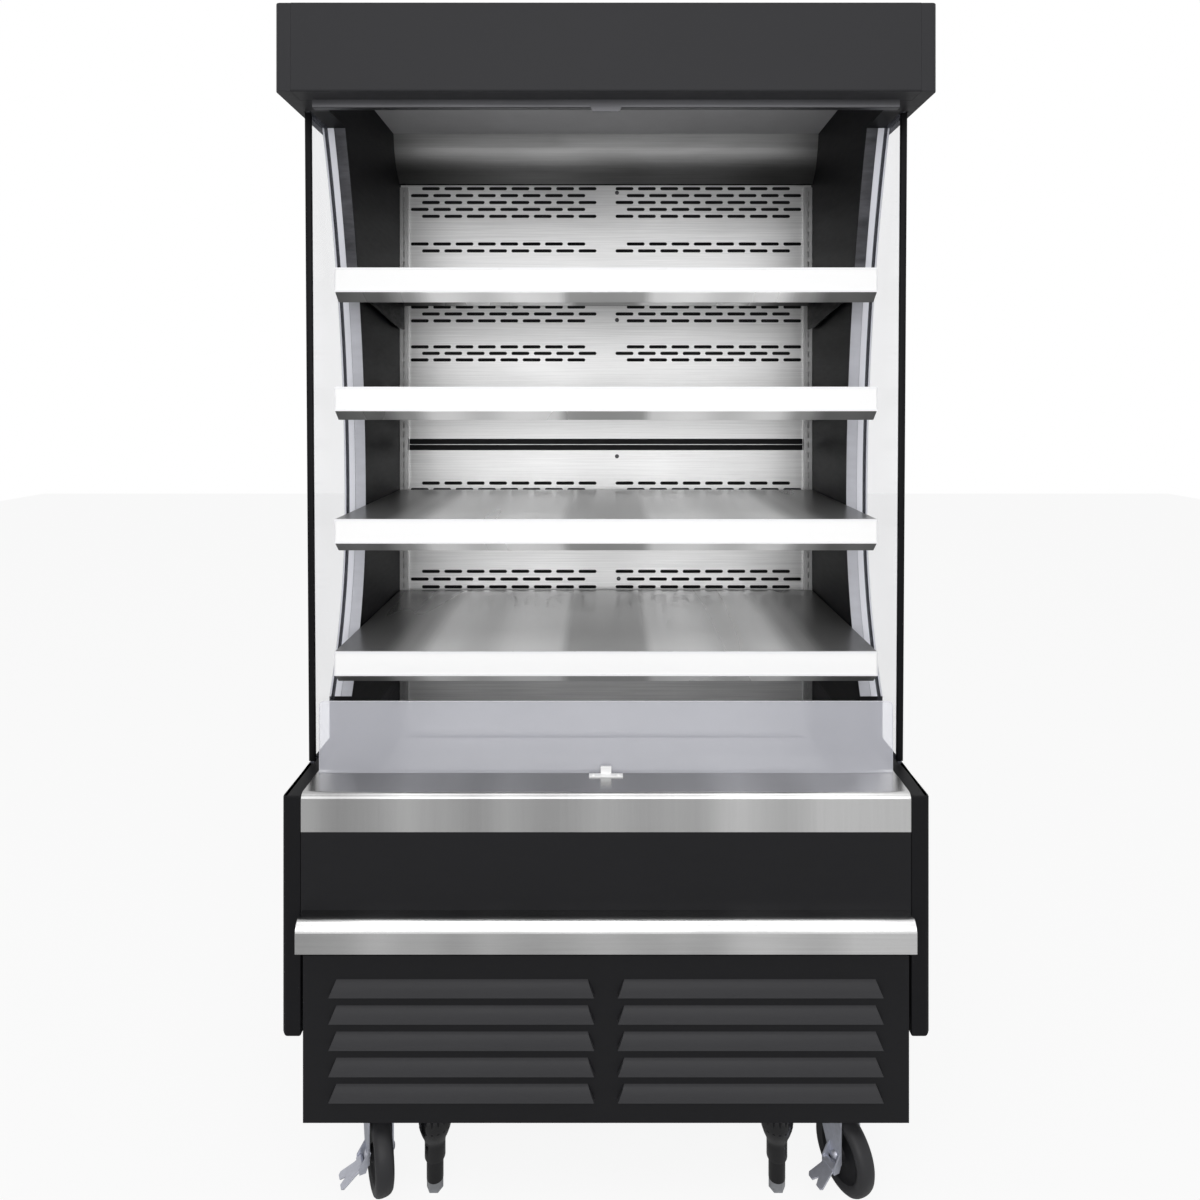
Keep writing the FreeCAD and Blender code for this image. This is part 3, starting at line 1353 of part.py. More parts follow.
def drain_pan():
    """Tray on the base floor that catches the meltwater, with flared ends."""
    length, width, height = DRAIN_PAN
    x, depth = DRAIN_PAN_PLACE
    y = at(depth)
    z = BASE_TOP_OF_PLATE
    flare = height / 4
    end = length / 2
    outer = [(x - end + flare, z), (x + end - flare, z), (x + end, z + height), (x - end, z + height)]
    floor = z + PAN_GAUGE
    inner_end = end - PAN_GAUGE
    inner = [
        (x - inner_end + flare, floor),
        (x + inner_end - flare, floor),
        (x + inner_end, z + height),
        (x - inner_end, z + height),
    ]
    tray = along_y(outer, y - width / 2, y + width / 2)
    return tray.cut(along_y(inner, y - width / 2 + PAN_GAUGE, y + width / 2 - PAN_GAUGE))


def electrical_box():
    """Control box beside the condenser, with its lid and mounting ears."""
    length, width, height = ELECTRICAL_BOX
    x = BASE_HALF - ELECTRICAL_BOX_PLACE[0]
    y = at(ELECTRICAL_BOX_PLACE[1])
    z = BASE_TOP_OF_PLATE
    case = block(x - length / 2, x + length / 2, y - width / 2 + BOX_LID, y + width / 2, z, z + height)
    lid = along_y(
        [
            (x - length / 2 - BOX_LID, z),
            (x + length / 2 + BOX_LID, z),
            (x + length / 2 + BOX_LID, z + height + BOX_LID),
            (x - length / 2 - BOX_LID, z + height + BOX_LID),
        ],
        y - width / 2,
        y - width / 2 + BOX_LID,
    )
    return joined([case, lid])


# ---------------------------------------------------------------- cross-flow blower
def blower_point(angle, radius, x):
    """Point around the blower's shaft. Angle 0 points to the back and 90 points up."""
    turn = math.radians(angle)
    return Vector(x, at(BLOWER_DEPTH) + radius * math.cos(turn), BLOWER_LEVEL + radius * math.sin(turn))


def blower_rotor():
    """Cross-flow rotor: leaned blades between end discs, on one shaft."""
    along = Vector(1, 0, 0)
    inner = BLOWER_RADIUS - BLOWER_BLADE_DEPTH
    lean = 20.0
    gauge_turn = math.degrees(BLOWER_BLADE_GAUGE / inner)
    parts = []
    for i in range(BLOWER_BLADES):
        turn = i * 360.0 / BLOWER_BLADES
        corners = [
            blower_point(turn, inner, -BLOWER_HALF),
            blower_point(turn + lean, BLOWER_RADIUS - BLOWER_BLADE_GAUGE, -BLOWER_HALF),
            blower_point(turn + lean + gauge_turn, BLOWER_RADIUS - BLOWER_BLADE_GAUGE, -BLOWER_HALF),
            blower_point(turn + gauge_turn, inner, -BLOWER_HALF),
        ]
        blade = Part.Face(Part.makePolygon(corners + corners[:1]))
        parts.append(blade.extrude(Vector(2 * BLOWER_HALF, 0, 0)))
    stub = BLOWER_GAP + SCROLL_GAUGE
    centre = blower_point(0, 0, 0)
    rim = [(centre.y + dy, centre.z + dz) for dy, dz in ring_points(BLOWER_RADIUS, BLOWER_DISC_SIDES)]
    for x in (-BLOWER_HALF, BLOWER_HALF - BLOWER_DISC):
        parts.append(along_x(rim, x, x + BLOWER_DISC))
    for x in (-BLOWER_HALF - stub, BLOWER_HALF):
        parts.append(Part.makeCylinder(SHAFT_RADIUS, stub, blower_point(0, 0, x), along))
    return joined(parts)


def blower_housing():
    """Scroll of the cross-flow blower: rear guide, tongue, end plates and the motor on one end."""
    along = Vector(1, 0, 0)
    plate_half = BLOWER_HALF + BLOWER_GAP
    start_radius = BLOWER_RADIUS + BLOWER_GAP
    middle_radius = start_radius + SCROLL_GROWTH / 2
    end_radius = start_radius + SCROLL_GROWTH
    inner = [
        blower_point(170.0, start_radius, -plate_half),
        blower_point(220.0, middle_radius, -plate_half),
        blower_point(270.0, end_radius, -plate_half),
    ]
    outer = [
        blower_point(170.0, start_radius + SCROLL_GAUGE, -plate_half),
        blower_point(220.0, middle_radius + SCROLL_GAUGE, -plate_half),
        blower_point(270.0, end_radius + SCROLL_GAUGE, -plate_half),
    ]
    outlet = at(BLOWER_DEPTH) + SCROLL_OUTLET
    mouth = [Vector(-plate_half, outlet, inner[2].z), Vector(-plate_half, outlet, outer[2].z)]
    start = Part.LineSegment(inner[0], outer[0]).toShape()
    arcs = [Part.Arc(*inner).toShape(), Part.Arc(*outer).toShape(), start]
    guide = closed_face(arcs, [inner[2]] + mouth + [outer[2]]).extrude(Vector(2 * plate_half, 0, 0))
    tongue_depth = at(BLOWER_DEPTH) + start_radius * 0.8
    tongue_level = BLOWER_LEVEL + start_radius * 0.6
    tongue = along_x(
        [
            (tongue_depth, tongue_level),
            (outlet, tongue_level),
            (outlet, tongue_level + SCROLL_GAUGE),
            (tongue_depth, tongue_level + SCROLL_GAUGE),
        ],
        -plate_half,
        plate_half,
    )
    parts = [guide, tongue]
    for x0 in (-plate_half - SCROLL_GAUGE, plate_half):
        plate = along_x(
            [
                (at(BLOWER_DEPTH) - BLOWER_RISE, TUB_INSIDE),
                (outlet, TUB_INSIDE),
                (outlet, BLOWER_LEVEL + BLOWER_RADIUS),
                (at(BLOWER_DEPTH) - BLOWER_RISE, BLOWER_LEVEL + BLOWER_RADIUS),
            ],
            x0,
            x0 + SCROLL_GAUGE,
        )
        bearing = Part.makeCylinder(SHAFT_RADIUS + PIN_FIT, SCROLL_GAUGE, blower_point(0, 0, x0), along)
        parts.append(plate.cut(bearing))
    centre = blower_point(0, 0, 0)
    can = [(centre.y + dy, centre.z + dz) for dy, dz in ring_points(BLOWER_MOTOR_RADIUS, MOTOR_SIDES)]
    motor_start = plate_half + SCROLL_GAUGE
    parts.append(along_x(can, motor_start, motor_start + BLOWER_MOTOR_LENGTH))
    return joined(parts)


# ---------------------------------------------------------------- casters and feet
def placed_caster(shape, x, y):
    """A caster piece moved from the swivel axis at the origin to its place under the base."""
    shape.rotate(Vector(0, 0, 0), Vector(0, 0, 1), CASTER_YAW)
    shape.translate(Vector(x, y, 0))
    return shape


def pedal_pivot():
    """Place of the brake pedal's pin beside the left fork leg, before the caster is placed."""
    return Vector(-FORK_HALF - FORK_GAUGE - PEDAL_STANDOFF, -CASTER_TRAIL, WHEEL_RADIUS - PEDAL_DROP)


def caster_fork(with_brake):
    """Pressed fork with its axle, and the ears and pin of the brake pedal if it has one."""
    outer = FORK_HALF + FORK_GAUGE
    crown_rear = -CASTER_TRAIL - FORK_EYE
    eye_bottom = WHEEL_RADIUS - FORK_EYE
    cheek_outline = [
        (RACE_RADIUS, FORK_CROWN),
        (crown_rear, FORK_CROWN),
        (crown_rear, eye_bottom + FORK_EYE / 2),
        (-CASTER_TRAIL - FORK_EYE / 2, eye_bottom),
        (-CASTER_TRAIL + FORK_EYE / 2, eye_bottom),
        (-CASTER_TRAIL + FORK_EYE, eye_bottom + FORK_EYE / 2),
    ]
    axle_start = Vector(-outer, -CASTER_TRAIL, WHEEL_RADIUS)
    parts = [
        along_x(cheek_outline, -outer, -FORK_HALF),
        along_x(cheek_outline, FORK_HALF, outer),
        block(-outer, outer, crown_rear, RACE_RADIUS, FORK_CROWN - FORK_GAUGE, FORK_CROWN),
        Part.makeCylinder(AXLE_RADIUS, 2 * outer, axle_start, Vector(1, 0, 0)),
    ]
    if with_brake:
        pivot = pedal_pivot()
        ear_start = PEDAL_BARREL_LENGTH / 2 + FLAT_FIT
        ear_outline = [
            (-outer, WHEEL_RADIUS - FORK_EYE / 2),
            (-outer, WHEEL_RADIUS + FORK_EYE),
            (pivot.x - PEDAL_BARREL, pivot.z + PEDAL_BARREL),
            (pivot.x - PEDAL_BARREL, pivot.z - PEDAL_BARREL),
            (pivot.x + PEDAL_BARREL, pivot.z - PEDAL_BARREL),
        ]
        for y0 in (pivot.y - ear_start - PEDAL_EAR, pivot.y + ear_start):
            parts.append(along_y(ear_outline, y0, y0 + PEDAL_EAR))
        pin_length = 2 * (ear_start + PEDAL_EAR)
        pin_start = Vector(pivot.x, pivot.y - pin_length / 2, pivot.z)
        parts.append(Part.makeCylinder(PEDAL_PIN, pin_length, pin_start, Vector(0, 1, 0)))
    return joined(parts)


def caster_wheel():
    """Caster wheel with its axle bore."""
    along = Vector(1, 0, 0)
    start = Vector(-WHEEL_WIDTH / 2, -CASTER_TRAIL, WHEEL_RADIUS)
    rim = [(start.y + dy, start.z + dz) for dy, dz in ring_points(WHEEL_RADIUS, WHEEL_SIDES)]
    tread = along_x(rim, start.x, start.x + WHEEL_WIDTH)
    return tread.cut(Part.makeCylinder(AXLE_RADIUS + AXLE_FIT, WHEEL_WIDTH, start, along))


def brake_pedal():
    """Foot pedal of a caster brake: a forked blade on its knuckle."""
    pivot = pedal_pivot()
    half_knuckle = PEDAL_BARREL_LENGTH / 2
    knuckle = along_y(
        [
            (-PEDAL_BARREL, -PEDAL_BARREL),
            (PEDAL_BARREL, -PEDAL_BARREL),
            (PEDAL_BARREL, PEDAL_BARREL / 2),
            (PEDAL_BARREL / 2, PEDAL_BARREL),
            (-PEDAL_BARREL, PEDAL_BARREL),
        ],
        -half_knuckle,
        half_knuckle,
    )
    half = PEDAL_WIDTH / 2
    blade = along_z(
        [
            (-PEDAL_BARREL / 2, -half_knuckle),
            (-PEDAL_BARREL / 2, half_knuckle),
            (-2 * PEDAL_BARREL, half_knuckle),
            (-PEDAL_LENGTH * 0.9, half),
            (-PEDAL_LENGTH, half * 0.8),
            (-PEDAL_LENGTH, half * 0.3),
            (-PEDAL_LENGTH * 0.72, 0.0),
            (-PEDAL_LENGTH, -half * 0.3),
            (-PEDAL_LENGTH, -half * 0.8),
            (-PEDAL_LENGTH * 0.9, -half),
            (-2 * PEDAL_BARREL, -half_knuckle),
        ],
        -PEDAL_GAUGE / 2,
        PEDAL_GAUGE / 2,
    )
    bore_start = Vector(0, -half_knuckle, 0)
    bore = Part.makeCylinder(PEDAL_PIN + AXLE_FIT, PEDAL_BARREL_LENGTH, bore_start, Vector(0, 1, 0))
    pedal = joined([knuckle, blade]).cut(bore)
    pedal.rotate(Vector(0, 0, 0), Vector(0, 1, 0), -PEDAL_SLOPE)
    pedal.translate(pivot)
    return pedal


def turned_tier(radius, level, top_radius, top_level):
    """One tier of a turned piece round the vertical through (0, 0), with flat facets."""
    rings = []
    for r, z in ((radius, level), (top_radius, top_level)):
        corners = [Vector(x, y, z) for x, y in ring_points(r, SOCKET_SIDES)]
        rings.append(Part.makePolygon(corners + corners[:1]))
    return Part.makeLoft(rings, True, True)


def leg_socket(side):
    """Bell-shaped socket under the base that a levelling foot screws into."""
    bell = joined(
        [
            turned_tier(SOCKET_RADIUS, SOCKET_LEVEL, SOCKET_RADIUS, SOCKET_NECK_LEVEL),
            turned_tier(SOCKET_RADIUS, SOCKET_NECK_LEVEL, SOCKET_FLANGE_RADIUS, SOCKET_FLANGE_LEVEL),
            turned_tier(SOCKET_FLANGE_RADIUS, SOCKET_FLANGE_LEVEL, SOCKET_FLANGE_RADIUS, GROUND_CLEARANCE),
        ]
    )
    bore_top = GROUND_CLEARANCE - SOCKET_ROOF
    bore = Part.makeCylinder(FOOT_TUBE_RADIUS + FOOT_FIT, bore_top - SOCKET_LEVEL, Vector(0, 0, SOCKET_LEVEL))
    socket = bell.cut(bore)
    socket.translate(Vector(side * LEG_PLACE, at(LEG_DEPTH), 0))
    return socket


def levelling_foot(side):
    """Levelling foot: a tube with a hexagonal end that a spanner turns."""
    x = side * LEG_PLACE
    y = at(LEG_DEPTH)
    tube = Part.makeCylinder(FOOT_TUBE_RADIUS, FOOT_TOP - FOOT_HEX_HEIGHT, Vector(x, y, FOOT_HEX_HEIGHT))
    corner_radius = FOOT_HEX_FLATS / 2 / math.cos(math.radians(30))
    corners = []
    for i in range(7):
        turn = math.radians(60 * i)
        corners.append(Vector(x + corner_radius * math.cos(turn), y + corner_radius * math.sin(turn), 0))
    hexagon = Part.Face(Part.makePolygon(corners)).extrude(Vector(0, 0, FOOT_HEX_HEIGHT))
    return joined([tube, hexagon])


# ---------------------------------------------------------------- the pieces
def all_pieces():
    """Every piece by its name."""
    panel = end_panel()
    wall = side_wall()
    glass = side_glass()
    cap = canopy_end_cap()
    standard = shelf_standard()
    pieces = {
        "base_frame": base_frame(),
        "louver_panel": louver_panel(),
        "rear_grille": rear_grille(),
        "insulated_tub": insulated_tub(),
        "left_end_panel": mirrored(panel),
        "right_end_panel": panel,
        "left_side_wall": mirrored(wall),
        "right_side_wall": wall,
        "left_side_glass": mirrored(glass),
        "right_side_glass": glass,
        "rear_wall": rear_wall(),
        "top_panel": top_panel(),
        "canopy_fascia": canopy_fascia(),
        "canopy_end_caps": Part.makeCompound([mirrored(cap), cap]),
        "ceiling_liner": ceiling_liner(),
        "air_cowl": air_cowl(),
        "honeycomb_grille": honeycomb_grille(),
        "upper_back_panel": back_panel(
            BACK_SEAM + SEAM_GAP / 2, BACK_TOP, UPPER_OUTER_RISES, UPPER_INNER_RISES
        ),
        "lower_back_panel": back_panel(
            DECK_TOP, BACK_SEAM - SEAM_GAP / 2, LOWER_OUTER_RISES, LOWER_INNER_RISES
        ),
        "shelf_standards": Part.makeCompound([mirrored(standard), standard]),
        "deck_pan": deck_pan(),
        "return_air_grille": return_air_grille(),
        "sill": sill(),
        "front_riser": front_riser(),
        "curtain_catch": curtain_catch(),
        "apron": apron(),
        "bumper": bumper(),
        "curtain_roller": curtain_roller(),
        "curtain_cloth": curtain_cloth(),
        "curtain_pull_bar": curtain_pull_bar(),
        "condenser_coil": condenser_coil(),
        "condenser_fan_shroud": condenser_fan_shroud(),
        "condenser_fan_blade": condenser_fan_blade(),
        "evaporator_coil": evaporator_coil(),
        "blower_housing": blower_housing(),
        "blower_rotor": blower_rotor(),
        "compressor": compressor(),
        "refrigerant_lines": refrigerant_lines(),
        "drain_pan": drain_pan(),
        "electrical_box": electrical_box(),
        "levelling_foot_left": levelling_foot(-1),
        "levelling_foot_right": levelling_foot(1),
    }
    for number, top in enumerate(SHELF_TOPS, start=1):
        pieces[f"shelf_{number}"] = shelf_pan(top)
        pieces[f"price_strip_{number}"] = price_strip(top)
    for name, x, y in caster_places():
        has_brake = name.startswith("front")
        pieces[f"caster_fork_{name}"] = placed_caster(caster_fork(has_brake), x, y)
        pieces[f"caster_wheel_{name}"] = placed_caster(caster_wheel(), x, y)
        if has_brake:
            pieces[f"brake_pedal_{name}"] = placed_caster(brake_pedal(), x, y)
    return pieces


def write_pieces():
    """One STEP file for each piece."""
    os.makedirs("parts", exist_ok=True)
    for name, shape in all_pieces().items():
        shape.exportStep(os.path.join("parts", f"{name}.step"))


write_pieces()
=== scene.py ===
import math

import bmesh
import bpy
from bpy.props import FloatProperty, FloatVectorProperty, IntProperty, PointerProperty
from bpy.types import Operator, Panel, PropertyGroup
from mathutils import Matrix, Vector


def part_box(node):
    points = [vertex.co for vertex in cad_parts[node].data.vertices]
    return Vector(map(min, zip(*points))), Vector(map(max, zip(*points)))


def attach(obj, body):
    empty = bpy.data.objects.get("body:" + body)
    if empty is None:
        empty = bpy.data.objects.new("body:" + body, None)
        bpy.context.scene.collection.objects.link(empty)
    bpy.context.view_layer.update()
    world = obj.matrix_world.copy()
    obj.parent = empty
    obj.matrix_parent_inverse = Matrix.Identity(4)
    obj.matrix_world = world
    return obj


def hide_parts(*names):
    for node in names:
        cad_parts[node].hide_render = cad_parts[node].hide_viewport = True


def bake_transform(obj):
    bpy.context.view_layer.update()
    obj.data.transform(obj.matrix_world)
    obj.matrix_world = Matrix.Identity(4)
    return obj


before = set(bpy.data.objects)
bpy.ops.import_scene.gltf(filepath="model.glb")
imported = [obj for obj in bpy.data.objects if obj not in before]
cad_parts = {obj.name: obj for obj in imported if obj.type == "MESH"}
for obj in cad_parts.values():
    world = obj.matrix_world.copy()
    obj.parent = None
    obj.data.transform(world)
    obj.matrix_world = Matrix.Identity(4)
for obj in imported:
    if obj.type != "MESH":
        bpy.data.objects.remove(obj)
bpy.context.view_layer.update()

bl_info = {
    "name": "Open Display Fridge",
    "version": (1, 0, 0),
    "blender": (4, 5, 0),
    "location": "View3D > Sidebar > Display Fridge",
    "description": "Dresses the open multideck display fridge and sets up its studio",
    "category": "Object",
}

# One millimetre, in metres.
MM = 0.001


def tone(red, green, blue):
    """Linear colour of a display colour given in 0 to 255."""
    values = []
    for level in (red, green, blue):
        share = level / 255
        values.append(share / 12.92 if share <= 0.04045 else ((share + 0.055) / 1.055) ** 2.4)
    return tuple(values)


def span(node):
    """Lowest and highest corner of a frame piece, as vectors."""
    low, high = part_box(node)
    return Vector(low), Vector(high)


BACK_LOW = span("upper_back_panel")[0]
GLASS_LOW, GLASS_HIGH = span("right_side_glass")
WALL_LOW, WALL_HIGH = span("right_side_wall")
CLOTH_LOW, CLOTH_HIGH = span("curtain_cloth")
BAR_LOW, BAR_HIGH = span("curtain_pull_bar")
FRONT = span("apron")[0].y


# ---------------------------------------------------------------- settings
class StudioSettings(PropertyGroup):
    """Camera, lamps and backdrop"""

    camera_height: FloatProperty(
        name="Camera Height", description="Height of the lens above the floor",
        default=1.382, unit="LENGTH",
    )
    camera_distance: FloatProperty(
        name="Camera Distance", description="From the lens to the cabinet's front",
        default=1.4, unit="LENGTH",
    )
    camera_lens: FloatProperty(
        name="Focal Length", description="Focal length on a 36 mm wide sensor",
        default=24.77, min=10, max=200,
    )
    front_lamp: FloatProperty(
        name="Front Softbox", description="Power of the large softbox in front",
        default=42.0, unit="POWER",
    )
    top_lamp: FloatProperty(
        name="Top Softbox", description="Power of the softbox over the cabinet",
        default=34.0, unit="POWER",
    )
    low_lamp: FloatProperty(
        name="Low Softbox", description="Power of the softbox that fills the well",
        default=5.0, unit="POWER",
    )
    room_light: FloatProperty(
        name="Room Light", description="Strength of the even light from all round",
        default=0.50, min=0, max=2,
    )
    mirror_light: FloatProperty(
        name="Mirror Light", description="Strength of the room as metal mirrors it",
        default=0.92, min=0, max=2,
    )
    backdrop: FloatVectorProperty(
        name="Backdrop", description="Colour behind the cabinet", subtype="COLOR",
        default=(1.0, 1.0, 1.0),
    )


class FinishSettings(PropertyGroup):
    """Colours of the main finishes"""

    canopy: FloatVectorProperty(
        name="Canopy", description="Powder coat of the canopy", subtype="COLOR",
        default=tone(50, 50, 52),
    )
    shell: FloatVectorProperty(
        name="Side Panels", description="Moulded black of the sides", subtype="COLOR",
        default=tone(22, 22, 24),
    )
    base: FloatVectorProperty(
        name="Base", description="Powder coat of the lower front", subtype="COLOR",
        default=tone(32, 32, 34),
    )
    steel: FloatVectorProperty(
        name="Stainless", description="Brushed stainless steel", subtype="COLOR",
        default=tone(234, 234, 234),
    )
    cloth: FloatVectorProperty(
        name="Curtain", description="Cloth of the night curtain", subtype="COLOR",
        default=tone(214, 216, 218),
    )
    rubber: FloatVectorProperty(
        name="Wheels", description="Rubber of the caster wheels", subtype="COLOR",
        default=tone(50, 50, 52),
    )


class DetailSettings(PropertyGroup):
    """Sizes of the fine details"""

    dash_length: FloatProperty(
        name="Duct Slot", description="Length of one air slot in the back",
        default=44 * MM, unit="LENGTH",
    )
    dash_web: FloatProperty(
        name="Duct Web", description="Metal left between two air slots",
        default=11 * MM, unit="LENGTH",
    )
    keyhole_pitch: FloatProperty(
        name="Keyhole Pitch", description="Step of the slots in the shelf uprights",
        default=24.5 * MM, unit="LENGTH",
    )
    cell_width: FloatProperty(
        name="Honeycomb Cell", description="Width of one cell of the air grille",
        default=7.0 * MM, unit="LENGTH",
    )
    cloth_gauge: FloatProperty(
        name="Cloth Thickness", description="Thickness of the curtain cloth",
        default=0.4 * MM, unit="LENGTH",
    )
    cloth_turns: IntProperty(
        name="Cloth Turns", description="Turns of cloth wound on the roller",
        default=20, min=4, max=40,
    )
    fin_pitch: FloatProperty(
        name="Fin Pitch", description="Step of the fins on both coils",
        default=4.0 * MM, unit="LENGTH",
    )


def settings(context, group):
    """One group of this file's settings on the scene."""
    return getattr(context.scene, "fridge_" + group)


# ---------------------------------------------------------------- finishes
def new_shader(name):
    """Node material with only a principled shader, and the object coordinates that its patterns read."""
    material = bpy.data.materials.new("finish_" + name)
    material.use_nodes = True
    tree = material.node_tree
    tree.nodes.clear()
    output = tree.nodes.new("ShaderNodeOutputMaterial")
    shader = tree.nodes.new("ShaderNodeBsdfPrincipled")
    tree.links.new(shader.outputs["BSDF"], output.inputs["Surface"])
    place = tree.nodes.new("ShaderNodeTexCoord")
    return material, tree, shader, place.outputs["Object"]


def stretched_noise(tree, place, stretch, scale, detail=4.0, rough=0.55):
    """Noise whose grain is stretched along the object's axes."""
    mapping = tree.nodes.new("ShaderNodeMapping")
    mapping.inputs["Scale"].default_value = stretch
    noise = tree.nodes.new("ShaderNodeTexNoise")
    noise.inputs["Scale"].default_value = scale
    noise.inputs["Detail"].default_value = detail
    noise.inputs["Roughness"].default_value = rough
    tree.links.new(place, mapping.inputs["Vector"])
    tree.links.new(mapping.outputs["Vector"], noise.inputs["Vector"])
    return noise.outputs["Fac"]


def ramp_between(tree, factor, low, high, start=0.3, stop=0.7):
    """Colour that runs between two tones as a factor rises."""
    ramp = tree.nodes.new("ShaderNodeValToRGB")
    ramp.color_ramp.elements[0].position = start
    ramp.color_ramp.elements[1].position = stop
    ramp.color_ramp.elements[0].color = (*low, 1.0)
    ramp.color_ramp.elements[1].color = (*high, 1.0)
    tree.links.new(factor, ramp.inputs["Fac"])
    return ramp.outputs["Color"]


def remapped(tree, factor, low, high):
    """Number that runs between two values as a factor rises."""
    node = tree.nodes.new("ShaderNodeMapRange")
    node.inputs["From Min"].default_value = 0.3
    node.inputs["From Max"].default_value = 0.7
    node.inputs["To Min"].default_value = low
    node.inputs["To Max"].default_value = high
    tree.links.new(factor, node.inputs["Value"])
    return node.outputs["Result"]


def blended(tree, first, second, share):
    """Two factors mixed in a fixed share."""
    node = tree.nodes.new("ShaderNodeMix")
    node.inputs["Factor"].default_value = share
    tree.links.new(first, node.inputs["A"])
    tree.links.new(second, node.inputs["B"])
    return node.outputs["Result"]


def bumped(tree, shader, height, strength, depth):
    """Relief on the shader from a height."""
    node = tree.nodes.new("ShaderNodeBump")
    node.inputs["Strength"].default_value = strength
    node.inputs["Distance"].default_value = depth
    tree.links.new(height, node.inputs["Height"])
    tree.links.new(node.outputs["Normal"], shader.inputs["Normal"])


def scaled(colour, factor):
    """Colour made lighter or darker."""
    return tuple(min(1.0, level * factor) for level in colour)


def coated(name, colour, rough=(0.38, 0.52), grain=900.0, relief=0.12, spread=0.10, sheen=0.10):
    """Powder coat or moulded plastic: fine peel, soft patches and handling marks."""
    material, tree, shader, place = new_shader(name)
    patches = stretched_noise(tree, place, (1, 1, 1), 3.0, 3.0)
    peel = stretched_noise(tree, place, (1, 1, 1), grain, 2.0)
    marks = stretched_noise(tree, place, (1, 1, 5), 22.0, 6.0, 0.65)
    factor = blended(tree, patches, marks, 0.35)
    tree.links.new(
        ramp_between(tree, factor, scaled(colour, 1 - spread), scaled(colour, 1 + spread)),
        shader.inputs["Base Color"],
    )
    tree.links.new(remapped(tree, marks, *rough), shader.inputs["Roughness"])
    shader.inputs["Specular IOR Level"].default_value = sheen
    bumped(tree, shader, peel, relief, 0.0003)
    return material


def brushed(
    name,
    colour,
    stretch,
    rough=(0.20, 0.34),
    scale=5.0,
    relief=0.03,
    spread=0.10,
    metal=1.0,
    broad=(1, 1, 1),
    dip=0.12,
):
    """Brushed metal: long fine scratches along one way, and broad soft patches that dip darker; on the sill
    and bumper these patches are strong and are painted reflections.
    """
    material, tree, shader, place = new_shader(name)
    scratches = stretched_noise(tree, place, stretch, scale, 6.0, 0.6)
    patches = stretched_noise(tree, place, broad, 4.0, 2.0, 0.5)
    fine = ramp_between(tree, scratches, scaled(colour, 1 - spread), scaled(colour, 1 + spread))
    soft = ramp_between(tree, patches, (1 - dip,) * 3, (1.0, 1.0, 1.0), 0.4, 0.6)
    both = tree.nodes.new("ShaderNodeMix")
    both.data_type = "RGBA"
    both.blend_type = "MULTIPLY"
    both.inputs["Factor"].default_value = 1.0
    tree.links.new(fine, both.inputs["A"])
    tree.links.new(soft, both.inputs["B"])
    tree.links.new(both.outputs["Result"], shader.inputs["Base Color"])
    tree.links.new(remapped(tree, blended(tree, scratches, patches, 0.5), *rough), shader.inputs["Roughness"])
    shader.inputs["Metallic"].default_value = metal
    bumped(tree, shader, scratches, relief, 0.0002)
    return material


def clear(name, colour, rough, index, alpha):
    """Glass or clear plastic with faint wipe marks."""
    material, tree, shader, place = new_shader(name)
    wipes = stretched_noise(tree, place, (1, 3, 1), 9.0, 5.0, 0.6)
    tree.links.new(
        ramp_between(tree, wipes, scaled(colour, 0.97), colour), shader.inputs["Base Color"]
    )
    tree.links.new(remapped(tree, wipes, rough * 0.5, rough * 1.8), shader.inputs["Roughness"])
    shader.inputs["IOR"].default_value = index
    shader.inputs["Alpha"].default_value = alpha
    material.surface_render_method = "BLENDED"
    return material


def woven(name, colour, threads):
    """Coated curtain cloth with a fine plain weave."""
    material, tree, shader, place = new_shader(name)
    across = tree.nodes.new("ShaderNodeTexWave")
    across.bands_direction = "X"
    across.inputs["Scale"].default_value = threads
    across.inputs["Distortion"].default_value = 0.4
    down = tree.nodes.new("ShaderNodeTexWave")
    down.bands_direction = "Z"
    down.inputs["Scale"].default_value = threads
    down.inputs["Distortion"].default_value = 0.4
    tree.links.new(place, across.inputs["Vector"])
    tree.links.new(place, down.inputs["Vector"])
    weave = blended(tree, across.outputs["Fac"], down.outputs["Fac"], 0.5)
    patches = stretched_noise(tree, place, (1, 1, 1), 8.0)
    factor = blended(tree, weave, patches, 0.5)
    tree.links.new(
        ramp_between(tree, factor, scaled(colour, 0.86), scaled(colour, 1.06)), shader.inputs["Base Color"]
    )
    tree.links.new(remapped(tree, patches, 0.55, 0.75), shader.inputs["Roughness"])
    shader.inputs["Sheen Weight"].default_value = 0.25
    bumped(tree, shader, weave, 0.35, 0.0002)
    return material


def galvanised(name, colour):
    """Zinc-coated sheet with a crystal pattern."""
    material, tree, shader, place = new_shader(name)
    crystals = tree.nodes.new("ShaderNodeTexVoronoi")
    crystals.inputs["Scale"].default_value = 90.0
    tree.links.new(place, crystals.inputs["Vector"])
    patches = stretched_noise(tree, place, (1, 1, 1), 5.0)
    factor = blended(tree, crystals.outputs["Color"], patches, 0.4)
    tree.links.new(
        ramp_between(tree, factor, scaled(colour, 0.8), scaled(colour, 1.15)), shader.inputs["Base Color"]
    )
    tree.links.new(remapped(tree, factor, 0.35, 0.6), shader.inputs["Roughness"])
    shader.inputs["Metallic"].default_value = 0.85
    bumped(tree, shader, patches, 0.1, 0.0004)
    return material


def finish(name):
    """A finish by its name, once the finishes have been made."""
    return bpy.data.materials["finish_" + name]


def dress(piece, name):
    """Gives a piece its finish."""
    piece.data.materials.clear()
    piece.data.materials.append(finish(name))


